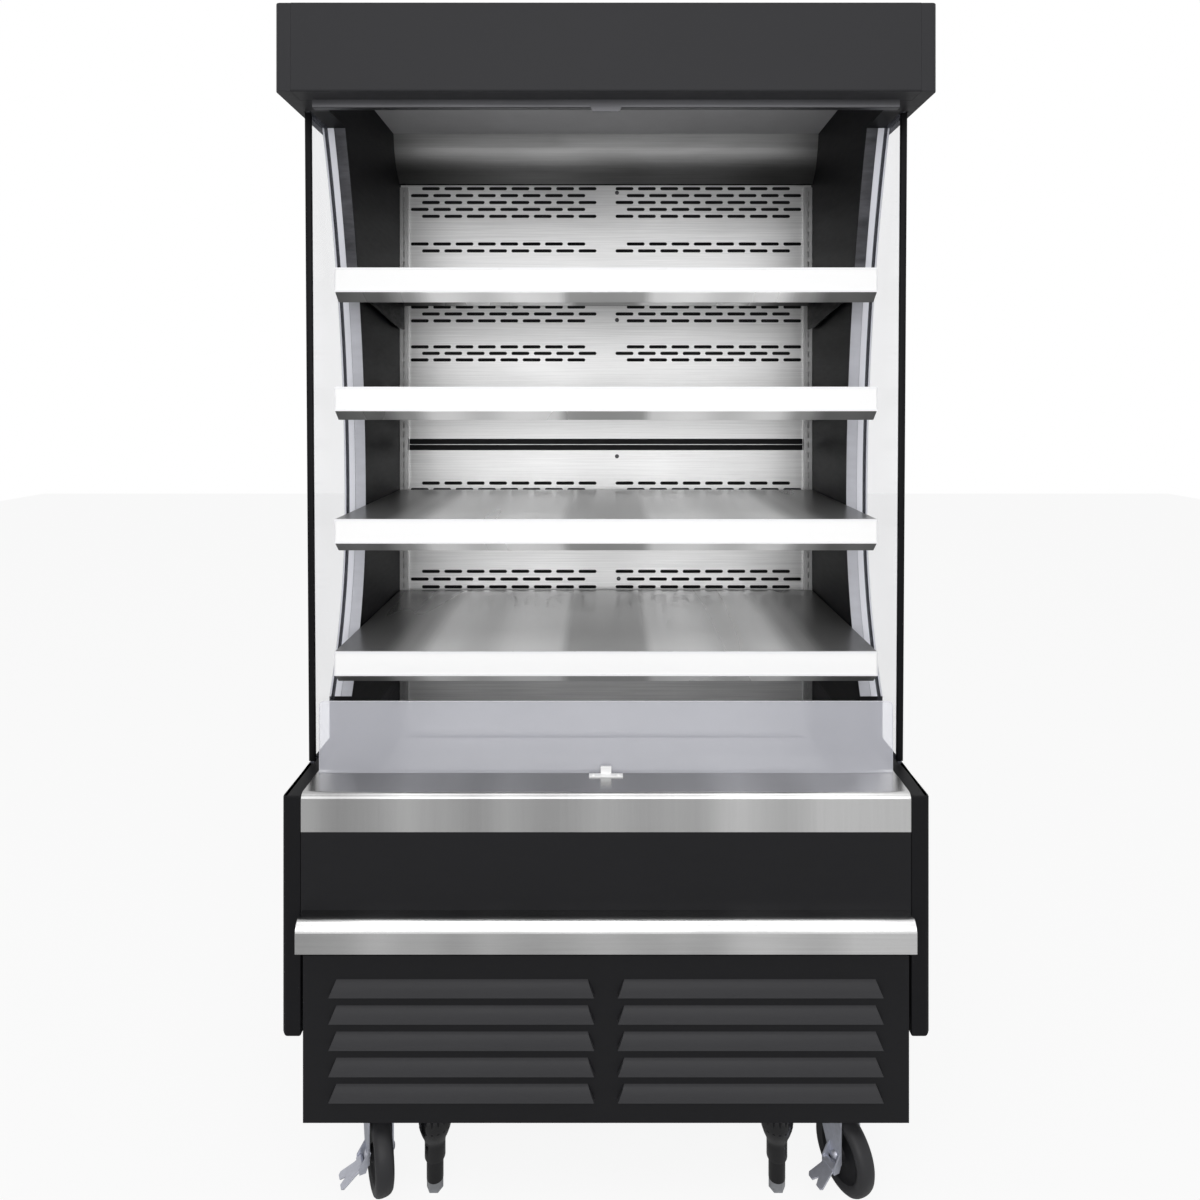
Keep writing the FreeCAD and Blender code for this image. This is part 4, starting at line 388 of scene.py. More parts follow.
def second_finish(piece, name, test):
    """Gives the faces whose middle and normal pass a test another finish."""
    piece.data.materials.append(finish(name))
    last = len(piece.data.materials) - 1
    for face in piece.data.polygons:
        if test(face.center, face.normal):
            face.material_index = last


# ---------------------------------------------------------------- modelling helpers
def deselect():
    """Leaves edit mode and deselects every object."""
    if bpy.context.mode != "OBJECT":
        bpy.ops.object.mode_set(mode="OBJECT")
    bpy.ops.object.select_all(action="DESELECT")


def activate(piece):
    """Makes a piece the only selected and active one."""
    deselect()
    piece.select_set(True)
    bpy.context.view_layer.objects.active = piece


def settle(name):
    """Names the active piece and puts its place into its mesh."""
    bpy.ops.object.transform_apply(location=True, rotation=True, scale=True)
    piece = bpy.context.active_object
    piece.name = name
    piece.data.name = name
    return piece


def block(name, low, high):
    """Block between two corners."""
    deselect()
    low = Vector(low)
    high = Vector(high)
    bpy.ops.mesh.primitive_cube_add(size=1, location=(low + high) / 2, scale=high - low)
    return settle(name)


def upright_grid(name, centre, width, height, columns, rows):
    """Flat grid that stands upright and faces the front."""
    deselect()
    bpy.ops.mesh.primitive_grid_add(
        x_subdivisions=columns,
        y_subdivisions=rows,
        size=1,
        location=centre,
        rotation=(math.radians(90), 0, 0),
    )
    bpy.context.active_object.scale = (width, height, 1)
    return settle(name)


def rod(name, start, end, radius, sides=24):
    """Round bar between two points."""
    deselect()
    start = Vector(start)
    end = Vector(end)
    turn = (end - start).to_track_quat("Z", "Y").to_euler()
    bpy.ops.mesh.primitive_cylinder_add(
        vertices=sides, radius=radius, depth=(end - start).length, location=(start + end) / 2, rotation=turn
    )
    return settle(name)


def apply_modifier(piece, modifier):
    """Applies one modifier of a piece."""
    activate(piece)
    bpy.ops.object.modifier_apply(modifier=modifier.name)


def soften(piece, width, segments=2, angle=30.0):
    """Rounds the sharp edges of a piece."""
    bevel = piece.modifiers.new("edges", "BEVEL")
    bevel.width = width
    bevel.segments = segments
    bevel.limit_method = "ANGLE"
    bevel.angle_limit = math.radians(angle)
    bevel.use_clamp_overlap = True
    apply_modifier(piece, bevel)
    return piece


def smooth(piece, angle=35.0):
    """Smooth shading that keeps sharp edges."""
    activate(piece)
    bpy.ops.object.shade_smooth_by_angle(angle=math.radians(angle))
    return piece


def flattened(piece):
    """Shades the large faces of a softened piece flat right up to their rounded edges."""
    weighted = piece.modifiers.new("flat_faces", "WEIGHTED_NORMAL")
    weighted.weight = 100
    weighted.keep_sharp = True
    apply_modifier(piece, weighted)
    return piece


def edit_faces(piece, test):
    """Enters edit mode with the faces that pass a test selected."""
    activate(piece)
    bpy.ops.object.mode_set(mode="EDIT")
    bpy.ops.mesh.select_mode(type="FACE")
    bpy.ops.mesh.select_all(action="DESELECT")
    shape = bmesh.from_edit_mesh(piece.data)
    shape.normal_update()
    for face in shape.faces:
        if test(face.calc_center_median(), face.normal):
            face.select_set(True)
    bmesh.update_edit_mesh(piece.data)


def edit_edges(piece, test):
    """Enters edit mode with the edges that pass a test on their two ends selected."""
    activate(piece)
    bpy.ops.object.mode_set(mode="EDIT")
    bpy.ops.mesh.select_mode(type="EDGE")
    bpy.ops.mesh.select_all(action="DESELECT")
    shape = bmesh.from_edit_mesh(piece.data)
    for edge in shape.edges:
        if test(edge.verts[0].co, edge.verts[1].co):
            edge.select_set(True)
    bmesh.update_edit_mesh(piece.data)


def edit_points(piece, test):
    """Enters edit mode with the points that pass a test selected."""
    activate(piece)
    bpy.ops.object.mode_set(mode="EDIT")
    bpy.ops.mesh.select_mode(type="VERT")
    bpy.ops.mesh.select_all(action="DESELECT")
    shape = bmesh.from_edit_mesh(piece.data)
    for point in shape.verts:
        if test(point.co):
            point.select_set(True)
    bmesh.update_edit_mesh(piece.data)


def leave_edit():
    """Leaves edit mode."""
    bpy.ops.object.mode_set(mode="OBJECT")


def line_through(name, points):
    """Open line through points, drawn by extruding one corner."""
    deselect()
    points = [Vector(point) for point in points]
    bpy.ops.mesh.primitive_plane_add(size=0.001, location=points[0])
    bpy.ops.object.mode_set(mode="EDIT")
    bpy.ops.mesh.select_mode(type="VERT")
    bpy.ops.mesh.merge(type="CENTER")
    for start, end in zip(points, points[1:]):
        bpy.ops.mesh.extrude_region_move(TRANSFORM_OT_translate={"value": end - start})
    leave_edit()
    return settle(name)


def clean(piece, distance=1e-5):
    """Merges doubled points and turns all faces outwards."""
    activate(piece)
    bpy.ops.object.mode_set(mode="EDIT")
    bpy.ops.mesh.select_all(action="SELECT")
    bpy.ops.mesh.remove_doubles(threshold=distance)
    bpy.ops.mesh.normals_make_consistent(inside=False)
    leave_edit()
    return piece


def in_metres(profile):
    """Corners of a profile, from millimetres."""
    return [(radius * MM, along * MM) for radius, along in profile]


def turned(name, profile, centre, axis, steps=48):
    """Turned piece from (radius, place along the axis) corners."""
    piece = line_through(name, [(radius, 0, along) for radius, along in profile])
    screw = piece.modifiers.new("turn", "SCREW")
    screw.axis = "Z"
    screw.steps = steps
    screw.render_steps = steps
    screw.use_merge_vertices = True
    screw.merge_threshold = 1e-6
    apply_modifier(piece, screw)
    turn = Vector(axis).to_track_quat("Z", "Y").to_matrix().to_4x4()
    piece.matrix_world = Matrix.Translation(centre) @ turn
    activate(piece)
    settle(name)
    clean(piece)
    return smooth(piece, 40.0)


def tube(name, points, radius, sides=6):
    """Bent pipe through points, with smooth bends."""
    curve = bpy.data.curves.new(name, "CURVE")
    curve.dimensions = "3D"
    curve.bevel_depth = radius
    curve.bevel_resolution = sides
    curve.use_fill_caps = True
    curve.resolution_u = 8
    line = curve.splines.new("NURBS")
    line.points.add(len(points) - 1)
    for spot, place in zip(line.points, points):
        spot.co = (*place, 1.0)
    line.order_u = 3
    line.use_endpoint_u = True
    piece = bpy.data.objects.new(name, curve)
    bpy.context.scene.collection.objects.link(piece)
    activate(piece)
    bpy.ops.object.convert(target="MESH")
    piece = bpy.context.active_object
    piece.name = name
    return smooth(piece, 50.0)


def copied(piece, name, offset=(0, 0, 0)):
    """Copy of a piece with its own mesh, moved by an offset."""
    twin = piece.copy()
    twin.data = piece.data.copy()
    twin.name = name
    twin.data.name = name
    bpy.context.scene.collection.objects.link(twin)
    twin.location = offset
    activate(twin)
    return settle(name)


def flipped(piece, name):
    """The same piece for the other side of the cabinet."""
    twin = copied(piece, name)
    twin.scale = (-1, 1, 1)
    activate(twin)
    settle(name)
    bpy.ops.object.mode_set(mode="EDIT")
    bpy.ops.mesh.select_all(action="SELECT")
    bpy.ops.mesh.normals_make_consistent(inside=False)
    leave_edit()
    return twin


def joined(name, pieces):
    """One object from several."""
    deselect()
    for piece in pieces:
        piece.select_set(True)
    bpy.context.view_layer.objects.active = pieces[0]
    bpy.ops.object.join()
    piece = bpy.context.active_object
    piece.name = name
    piece.data.name = name
    return piece


def repeated(piece, count, step):
    """Row of copies of a piece, a fixed step apart, as one mesh."""
    array = piece.modifiers.new("row", "ARRAY")
    array.count = count
    array.use_relative_offset = False
    array.use_constant_offset = True
    array.constant_offset_displace = step
    apply_modifier(piece, array)
    return piece


def discard(*pieces):
    """Removes patterns that have been copied."""
    for piece in pieces:
        bpy.data.objects.remove(piece, do_unlink=True)


def hollowed(piece, cutter):
    """Takes one piece's shape out of another, and removes the cutter."""
    cut = piece.modifiers.new("cut", "BOOLEAN")
    cut.operation = "DIFFERENCE"
    cut.solver = "EXACT"
    cut.object = cutter
    apply_modifier(piece, cut)
    discard(cutter)
    return piece


def refined(node, width, segments=2, angle=38.0):
    """A frame piece's shape with its sharp edges rounded, which stands for that piece."""
    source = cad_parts[node]
    twin = bpy.data.objects.new(node + "_finished", source.data.copy())
    bpy.context.scene.collection.objects.link(twin)
    twin.data.name = twin.name
    activate(twin)
    bpy.ops.object.mode_set(mode="EDIT")
    bpy.ops.mesh.select_all(action="SELECT")
    bpy.ops.mesh.customdata_custom_splitnormals_clear()
    bpy.ops.mesh.remove_doubles(threshold=0.00002)
    bpy.ops.mesh.dissolve_limited(angle_limit=math.radians(1.0))
    leave_edit()
    soften(twin, width, segments, angle)
    smooth(twin, angle)
    flattened(twin)
    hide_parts(node)
    return twin


def carried(piece, body):
    """Fixes a finished piece to its body."""
    if not piece.data.polygons:
        raise RuntimeError(piece.name + " has no faces")
    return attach(piece, body)


def screw_head(name, place, facing, radius):
    """Domed screw head with a cross recess."""
    crown = ((0, 0.55), (0.5, 0.48), (0.85, 0.3), (1, 0), (0, 0))
    profile = [(across * radius, along * radius) for across, along in crown]
    head = turned(name, profile, place, facing, 20)
    facing = Vector(facing)
    top = Vector(place) + facing * radius * 0.6
    side = facing.orthogonal().normalized()
    reach = Vector((0.5, 0.09, 0.3)) * radius
    for arm in (side, facing.cross(side)):
        cutter = block("recess", -reach, reach)
        cutter.matrix_world = Matrix.Translation(top) @ arm.to_track_quat("X", "Z").to_matrix().to_4x4()
        activate(cutter)
        settle("recess")
        hollowed(head, cutter)
    return smooth(head, 35.0)


# ---------------------------------------------------------------- the studio
class FRIDGE_OT_stage(Operator):
    """Sets the pale floor, the soft lamps and the camera"""

    bl_idname = "fridge.stage"
    bl_label = "Studio"

    floor_size = 16.0
    floor_grey = 0.80
    floor_glow = 0.90

    def execute(self, context):
        values = settings(context, "studio")
        deselect()
        bpy.ops.mesh.primitive_plane_add(size=self.floor_size, location=(0, 2.0, 0))
        floor = bpy.context.active_object
        floor.name = "studio_floor"
        floor.data.materials.append(self.floor_finish(values))
        context.scene.world = self.room(values)
        self.softbox(
            "front_softbox",
            place=(0, -3.4, 2.1),
            target=(0, 0.1, 1.15),
            size=(3.4, 2.6),
            power=values.front_lamp,
        )
        self.softbox(
            "top_softbox",
            place=(0, -1.4, 4.2),
            target=(0, 0.0, 1.0),
            size=(3.0, 2.4),
            power=values.top_lamp,
        )
        self.softbox(
            "low_softbox",
            place=(0, -2.3, 1.25),
            target=(0, 0.2, 0.72),
            size=(1.8, 0.7),
            power=values.low_lamp,
        )
        context.scene.camera = self.camera(values)
        context.scene.view_settings.view_transform = "Standard"
        return {"FINISHED"}

    def camera(self, values):
        """Level camera in front of the cabinet, shifted down to frame it whole."""
        view = bpy.data.cameras.new("camera")
        view.lens = values.camera_lens
        view.sensor_width = 36.0
        view.shift_x = -0.005
        view.shift_y = -0.1696
        camera = bpy.data.objects.new("camera", view)
        bpy.context.scene.collection.objects.link(camera)
        camera.location = (0, FRONT - values.camera_distance, values.camera_height)
        camera.rotation_euler = (math.radians(90), 0, 0)
        return camera

    def seen_directly(self, tree):
        """Factor that is 1 where the lens looks straight at a surface or through glass."""
        path = tree.nodes.new("ShaderNodeLightPath")
        either = tree.nodes.new("ShaderNodeMath")
        either.operation = "MAXIMUM"
        tree.links.new(path.outputs["Is Camera Ray"], either.inputs[0])
        tree.links.new(path.outputs["Is Transmission Ray"], either.inputs[1])
        return either.outputs[0]

    def seen_in_mirrors(self, tree, plain, mirrored):
        """Strength that differs for light which a glossy surface mirrors."""
        path = tree.nodes.new("ShaderNodeLightPath")
        strength = tree.nodes.new("ShaderNodeMapRange")
        strength.inputs["To Min"].default_value = plain
        strength.inputs["To Max"].default_value = mirrored
        tree.links.new(path.outputs["Is Glossy Ray"], strength.inputs["Value"])
        return strength.outputs["Result"]

    def floor_finish(self, values):
        """Pale paper that keeps the shadow and blends into the backdrop."""
        material = bpy.data.materials.new("studio_floor")
        material.use_nodes = True
        tree = material.node_tree
        tree.nodes.clear()
        output = tree.nodes.new("ShaderNodeOutputMaterial")
        paper = tree.nodes.new("ShaderNodeBsdfDiffuse")
        paper.inputs["Color"].default_value = (self.floor_grey, self.floor_grey, self.floor_grey, 1)
        glow = tree.nodes.new("ShaderNodeEmission")
        glow.inputs["Color"].default_value = (*values.backdrop, 1)
        share = tree.nodes.new("ShaderNodeMath")
        share.operation = "MULTIPLY"
        share.inputs[1].default_value = self.floor_glow
        tree.links.new(self.seen_directly(tree), share.inputs[0])
        mix = tree.nodes.new("ShaderNodeMixShader")
        tree.links.new(share.outputs[0], mix.inputs["Fac"])
        tree.links.new(paper.outputs["BSDF"], mix.inputs[1])
        tree.links.new(glow.outputs["Emission"], mix.inputs[2])
        tree.links.new(mix.outputs["Shader"], output.inputs["Surface"])
        return material

    def room(self, values):
        """Even light from all round, with the backdrop where the lens sees past the floor."""
        world = bpy.data.worlds.new("studio_room")
        world.use_nodes = True
        tree = world.node_tree
        tree.nodes.clear()
        output = tree.nodes.new("ShaderNodeOutputWorld")
        light = tree.nodes.new("ShaderNodeBackground")
        light.inputs["Color"].default_value = (1, 1, 1, 1)
        tree.links.new(
            self.seen_in_mirrors(tree, values.room_light, values.mirror_light), light.inputs["Strength"]
        )
        seen = tree.nodes.new("ShaderNodeBackground")
        seen.inputs["Color"].default_value = (*values.backdrop, 1)
        seen.inputs["Strength"].default_value = 1.0
        mix = tree.nodes.new("ShaderNodeMixShader")
        tree.links.new(self.seen_directly(tree), mix.inputs["Fac"])
        tree.links.new(light.outputs["Background"], mix.inputs[1])
        tree.links.new(seen.outputs["Background"], mix.inputs[2])
        tree.links.new(mix.outputs["Shader"], output.inputs["Surface"])
        return world

    def softbox(self, name, place, target, size, power):
        """Soft rectangular lamp aimed at a point."""
        lamp = bpy.data.lights.new(name, "AREA")
        lamp.shape = "RECTANGLE"
        lamp.size = size[0]
        lamp.size_y = size[1]
        lamp.energy = power
        box = bpy.data.objects.new(name, lamp)
        bpy.context.scene.collection.objects.link(box)
        box.location = place
        box.rotation_euler = (Vector(target) - Vector(place)).to_track_quat("-Z", "Y").to_euler()


# ---------------------------------------------------------------- finishes of the frame
NODE_FINISHES = {
    "moulded_black": ["left_end_panel", "right_end_panel", "left_side_wall", "right_side_wall"],
    "foam_shell": ["insulated_tub", "rear_wall", "top_panel"],
    "canopy_coat": ["canopy_fascia", "canopy_end_caps"],
    "apron_coat": ["apron"],
    "louvre_coat": ["louver_panel"],
    "chassis_coat": ["base_frame"],
    "ceiling_coat": ["ceiling_liner"],
    "back_stainless": ["upper_back_panel", "lower_back_panel", "return_air_grille"],
    "shelf_stainless": ["shelf_1", "shelf_2", "shelf_3", "shelf_4"],
    "deck_stainless": ["deck_pan"],
    "upright_stainless": ["shelf_standards"],
    "cowl_stainless": ["air_cowl"],
    "sill_stainless": ["sill"],
    "bumper_stainless": ["bumper"],
    "zinc_sheet": ["rear_grille", "condenser_fan_shroud", "drain_pan"],
    "strip_plastic": ["price_strip_1", "price_strip_2", "price_strip_3", "price_strip_4"],
    "side_glass": ["left_side_glass", "right_side_glass"],
    "riser_plastic": ["front_riser"],
    "curtain_cloth": ["curtain_cloth"],
    "curtain_rail": ["curtain_roller", "curtain_pull_bar"],
    "catch_plastic": ["curtain_catch"],
    "honeycomb_plastic": ["honeycomb_grille"],
    "coil_aluminium": ["condenser_coil", "evaporator_coil"],
    "compressor_enamel": ["compressor"],
    "copper_pipe": ["refrigerant_lines"],
    "fan_plastic": ["condenser_fan_blade", "blower_rotor", "blower_housing"],
    "box_enamel": ["electrical_box"],
    "fork_zinc": [
        "caster_fork_front_left",
        "caster_fork_front_right",
        "caster_fork_rear_left",
        "caster_fork_rear_right",
    ],
    "pedal_zinc": ["brake_pedal_front_left", "brake_pedal_front_right"],
    "wheel_rubber": [
        "caster_wheel_front_left",
        "caster_wheel_front_right",
        "caster_wheel_rear_left",
        "caster_wheel_rear_right",
    ],
    "foot_chrome": ["levelling_foot_left", "levelling_foot_right"],
}


class FRIDGE_OT_finishes(Operator):
    """Makes every finish and gives each piece of the frame its own"""

    bl_idname = "fridge.finishes"
    bl_label = "Finishes"

    def execute(self, context):
        values = settings(context, "finish")
        self.painted(values)
        self.stainless(tuple(values.steel))
        self.plastics()
        self.curtain(values)
        self.cooling()
        self.casters(values)
        self.trims()
        for name, nodes in NODE_FINISHES.items():
            for node in nodes:
                self.given_to(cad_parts[node], name)
        return {"FINISHED"}

    def given_to(self, piece, name):
        """Puts one finish in every slot of a frame piece."""
        if not piece.material_slots:
            piece.data.materials.append(finish(name))
        for slot in piece.material_slots:
            slot.material = finish(name)

    def painted(self, values):
        """Powder coats of the panels, and the moulded black of the sides."""
        base = tuple(values.base)
        panel = {"grain": 1100.0, "relief": 0.10}
        shell = tuple(values.shell)
        coated("moulded_black", shell, rough=(0.47, 0.52), grain=1400.0, relief=0.06, spread=0.05)
        coated("foam_shell", tone(60, 60, 62), rough=(0.5, 0.65))
        coated("canopy_coat", tuple(values.canopy), rough=(0.40, 0.50), spread=0.04, **panel)
        coated("apron_coat", base, rough=(0.36, 0.48), spread=0.05, **panel)
        coated("louvre_coat", scaled(base, 0.9), rough=(0.34, 0.46), spread=0.05, **panel)
        # Lighter coat for the louvres' forward faces: a painted highlight for the light that falls on their
        # slanted tops.
        coated("louvre_painted_highlight", tone(60, 60, 62), rough=(0.34, 0.46), spread=0.05, **panel)
        coated("chassis_coat", tone(26, 26, 28), rough=(0.22, 0.34), relief=0.10)
        coated("ceiling_coat", tone(196, 196, 198), rough=(0.45, 0.6))
        coated("box_enamel", tone(160, 162, 164), rough=(0.4, 0.55))

    def stainless(self, steel):
        """Brushed steel of the back, shelves, deck, uprights, cowl, sill and bumper, and plain zinc sheet."""
        across = (1, 60, 60)
        brushed("back_stainless", steel, across, rough=(0.32, 0.44), broad=(0.6, 1, 2.5), dip=0.10, metal=0.5)
        # The shelf tops carry a painted reflection of the bright back and painted shade at their sides.
        self.shelf_steel_painted_reflection("shelf_stainless", scaled(steel, 1.1))
        brushed("deck_stainless", scaled(steel, 1.1), across, rough=(0.36, 0.48), broad=(1, 2, 1), metal=0.35)
        brushed("upright_stainless", scaled(steel, 0.8), (60, 60, 1), rough=(0.30, 0.40), metal=0.7)
        brushed("cowl_stainless", scaled(steel, 0.40), across, rough=(0.34, 0.46), broad=(0.5, 1, 3), dip=0.3)
        # The sill's strong broad patches, darker and lighter along its length, are painted reflections.
        brushed(
            "sill_stainless",
            scaled(steel, 0.74),
            (40, 1, 1),
            rough=(0.18, 0.26),
            relief=0.006,
            spread=0.03,
            broad=(0.9, 0.03, 0.03),
            dip=0.45,
        )
        # The bumper's strong broad patches along its length are painted reflections.
        brushed(
            "bumper_stainless",
            scaled(steel, 0.80),
            across,
            rough=(0.14, 0.22),
            relief=0.01,
            spread=0.05,
            broad=(0.8, 0.03, 0.03),
            dip=0.4,
        )
        # Brighter steel for the bumper's upward faces: a painted highlight along its crown.
        brushed("bumper_painted_highlight", steel, across, rough=(0.2, 0.3), relief=0.01, spread=0.04, metal=0.7)
        galvanised("zinc_sheet", tone(176, 178, 180))

    def plastics(self):
        """Side glass, clear riser, ticket strips, catch and honeycomb."""
        glossy = {"grain": 500.0, "spread": 0.02, "sheen": 0.5}
        coated("strip_plastic", tone(244, 244, 246), rough=(0.25, 0.35), relief=0.04, **glossy)
        coated("catch_plastic", tone(248, 248, 248), rough=(0.3, 0.4), relief=0.05, **glossy)
        coated("ticket_card", tone(252, 252, 252), rough=(0.5, 0.6), grain=700.0, relief=0.05, spread=0.01)
        coated("honeycomb_plastic", tone(150, 150, 150), rough=(0.5, 0.65))
        clear("side_glass", tone(226, 229, 246), rough=0.02, index=1.5, alpha=0.11)
        # The riser's partial opacity paints a pale reflection over the clear plastic.
        clear("riser_plastic", tone(244, 245, 254), rough=0.04, index=1.49, alpha=0.3)
        # Paler, more opaque finish for the riser's edge faces: a painted highlight along its edges.
        clear("riser_edge_painted_highlight", tone(246, 247, 254), rough=0.2, index=1.49, alpha=0.75)

    def curtain(self, values):
        """Cloth of the night curtain, and its rail."""
        woven("curtain_cloth", tuple(values.cloth), 420.0)
        brushed("curtain_rail", tone(96, 96, 99), (1, 90, 90), rough=(0.34, 0.46))

    def cooling(self):
        """Coils, compressor, pipes and fans."""
        enamel = {"grain": 300.0, "relief": 0.15, "spread": 0.08, "sheen": 0.5}
        pipe = {"scale": 9.0, "relief": 0.1, "spread": 0.2}
        brushed("coil_aluminium", tone(196, 198, 200), (80, 80, 1), rough=(0.4, 0.55))
        coated("compressor_enamel", tone(30, 30, 32), rough=(0.2, 0.32), **enamel)
        brushed("copper_pipe", tone(196, 128, 96), (30, 30, 30), rough=(0.28, 0.45), **pipe)
        coated("fan_plastic", tone(34, 34, 36), rough=(0.4, 0.55))

    def casters(self, values):
        """Zinc forks and pedals, rubber wheels, and the feet."""
        zinc = {"stretch": (20, 20, 20), "scale": 8.0, "relief": 0.06, "spread": 0.08, "metal": 0.6}
        rubber = {"grain": 700.0, "relief": 0.18, "spread": 0.12, "sheen": 0.2}
        gloss = {"grain": 400.0, "relief": 0.05, "spread": 0.05, "sheen": 0.4}
        brushed("fork_zinc", tone(200, 203, 214), rough=(0.3, 0.45), **zinc)
        brushed("pedal_zinc", tone(196, 198, 208), rough=(0.28, 0.42), **zinc)
        coated("wheel_rubber", tuple(values.rubber), rough=(0.36, 0.5), **rubber)
        coated("wheel_hub", tone(30, 30, 32), rough=(0.3, 0.42), grain=500.0, relief=0.1)
        coated("leg_black", tone(16, 16, 18), rough=(0.12, 0.22), **gloss)
        brushed("foot_chrome", tone(176, 178, 182), (40, 40, 40), rough=(0.08, 0.18), scale=6.0, spread=0.06)

    def trims(self):
        """Screws, side trims, gaskets and black edges."""
        screw = {"stretch": (40, 40, 40), "scale": 6.0, "spread": 0.06}
        brushed("screw_dark", tone(88, 88, 90), rough=(0.3, 0.45), **screw)
        brushed("screw_bright", tone(226, 227, 230), rough=(0.25, 0.4), metal=0.6, **screw)
        self.wall_edge("wall_trim", tone(58, 58, 62), tone(206, 207, 214))
        coated("gasket_white", tone(236, 237, 244), rough=(0.4, 0.5), grain=600.0, relief=0.05, spread=0.03)
        coated("edge_black", tone(16, 16, 18), rough=(0.35, 0.5))

    def shelf_steel_painted_reflection(self, name, colour):
        """Brushed shelf top with a painted reflection of the bright back in soft bands that run front to
        rear, and painted shade towards its sides.
        """
        material, tree, shader, place = new_shader(name)
        half_width = 0.52
        scratches = stretched_noise(tree, place, (60, 1, 1), 5.0, 2.0, 0.5)
        waver = stretched_noise(tree, place, (3, 0.4, 1), 2.0, 1.0)
        side = tree.nodes.new("ShaderNodeSeparateXYZ")
        tree.links.new(place, side.inputs["Vector"])
        distance = tree.nodes.new("ShaderNodeMath")
        distance.operation = "ABSOLUTE"
        tree.links.new(side.outputs["X"], distance.inputs[0])
        spread = tree.nodes.new("ShaderNodeMapRange")
        spread.inputs["From Max"].default_value = half_width
        tree.links.new(distance.outputs[0], spread.inputs["Value"])
        bands = tree.nodes.new("ShaderNodeValToRGB")
        bands.color_ramp.interpolation = "EASE"
        # Share of the half width, and how bright the painted reflection and shade make the steel there.
        stops = (
            (0.0, 0.50),
            (0.15, 0.52),
            (0.20, 1.0),
            (0.32, 1.15),
            (0.45, 0.85),
            (0.60, 1.15),
            (0.70, 0.50),
            (0.79, 0.20),
            (1.0, 0.10),
        )
        elements = bands.color_ramp.elements
        while len(elements) < len(stops):
            elements.new(0.5)
        for element, (position, level) in zip(elements, stops):
            element.position = position
            element.color = (*scaled(colour, level), 1.0)
        grain = blended(tree, waver, scratches, 0.2)
        tree.links.new(blended(tree, spread.outputs["Result"], grain, 0.06), bands.inputs["Fac"])
        tree.links.new(bands.outputs["Color"], shader.inputs["Base Color"])
        tree.links.new(remapped(tree, waver, 0.26, 0.32), shader.inputs["Roughness"])
        shader.inputs["Metallic"].default_value = 0.4
        bumped(tree, shader, waver, 0.05, 0.0005)
        return material

    def wall_edge(self, name, shaded, lit):
        """Coat of the side walls' front edge, which the canopy's shade darkens towards the top."""
        material, tree, shader, place = new_shader(name)
        shade_top = 1.66
        shade_bottom = 1.52
        peel = stretched_noise(tree, place, (1, 1, 1), 900.0, 2.0)
        marks = stretched_noise(tree, place, (1, 1, 4), 16.0, 5.0)
        height = tree.nodes.new("ShaderNodeSeparateXYZ")
        tree.links.new(place, height.inputs["Vector"])
        fade = tree.nodes.new("ShaderNodeMapRange")
        fade.inputs["From Min"].default_value = shade_top
        fade.inputs["From Max"].default_value = shade_bottom
        fade.inputs["To Min"].default_value = 0.3
        fade.inputs["To Max"].default_value = 0.7
        tree.links.new(height.outputs["Z"], fade.inputs["Value"])
        tree.links.new(
            ramp_between(tree, blended(tree, fade.outputs["Result"], marks, 0.1), shaded, lit),
            shader.inputs["Base Color"],
        )
        tree.links.new(remapped(tree, marks, 0.4, 0.55), shader.inputs["Roughness"])
        shader.inputs["Specular IOR Level"].default_value = 0.2
        bumped(tree, shader, peel, 0.08, 0.0003)
        return material


# ---------------------------------------------------------------- sheet metal with rounded folds
# Rounding in millimetres, finish, slot and body of each frame piece that gets rounded edges.
REFINED = {
    "canopy_fascia": (1.2, "canopy_coat", "canopy_paint", "cabinet"),
    "canopy_end_caps": (3.0, "canopy_coat", "canopy_paint", "cabinet"),
    "left_end_panel": (3.0, "moulded_black", "insulated_black", "cabinet"),
    "right_end_panel": (3.0, "moulded_black", "insulated_black", "cabinet"),
    "apron": (0.8, "apron_coat", "apron_paint", "cabinet"),
    "louver_panel": (0.5, "louvre_coat", "louver_paint", "cabinet"),
    "sill": (0.5, "sill_stainless", "sill_steel", "cabinet"),
    "bumper": (0.6, "bumper_stainless", "bumper_steel", "cabinet"),
    "front_riser": (0.6, "riser_plastic", "riser_clear", "cabinet"),
    "curtain_catch": (0.5, "catch_plastic", "catch_white", "cabinet"),
    "curtain_pull_bar": (0.8, "curtain_rail", "curtain_metal", "curtain_bar"),
    "deck_pan": (0.4, "deck_stainless", "stainless", "deck"),
    "electrical_box": (1.5, "box_enamel", "box_grey", "cabinet"),
    "caster_fork_front_left": (0.7, "fork_zinc", "caster_zinc", "caster_front_left"),
    "caster_fork_front_right": (0.7, "fork_zinc", "caster_zinc", "caster_front_right"),
    "caster_fork_rear_left": (0.7, "fork_zinc", "caster_zinc", "caster_rear_left"),
    "caster_fork_rear_right": (0.7, "fork_zinc", "caster_zinc", "caster_rear_right"),
    "brake_pedal_front_left": (0.9, "pedal_zinc", "pedal_steel", "pedal_front_left"),
    "brake_pedal_front_right": (0.9, "pedal_zinc", "pedal_steel", "pedal_front_right"),
    "shelf_1": (0.4, "shelf_stainless", "stainless", "shelf_body_1"),
    "shelf_2": (0.4, "shelf_stainless", "stainless", "shelf_body_2"),
    "shelf_3": (0.4, "shelf_stainless", "stainless", "shelf_body_3"),
    "shelf_4": (0.4, "shelf_stainless", "stainless", "shelf_body_4"),
}


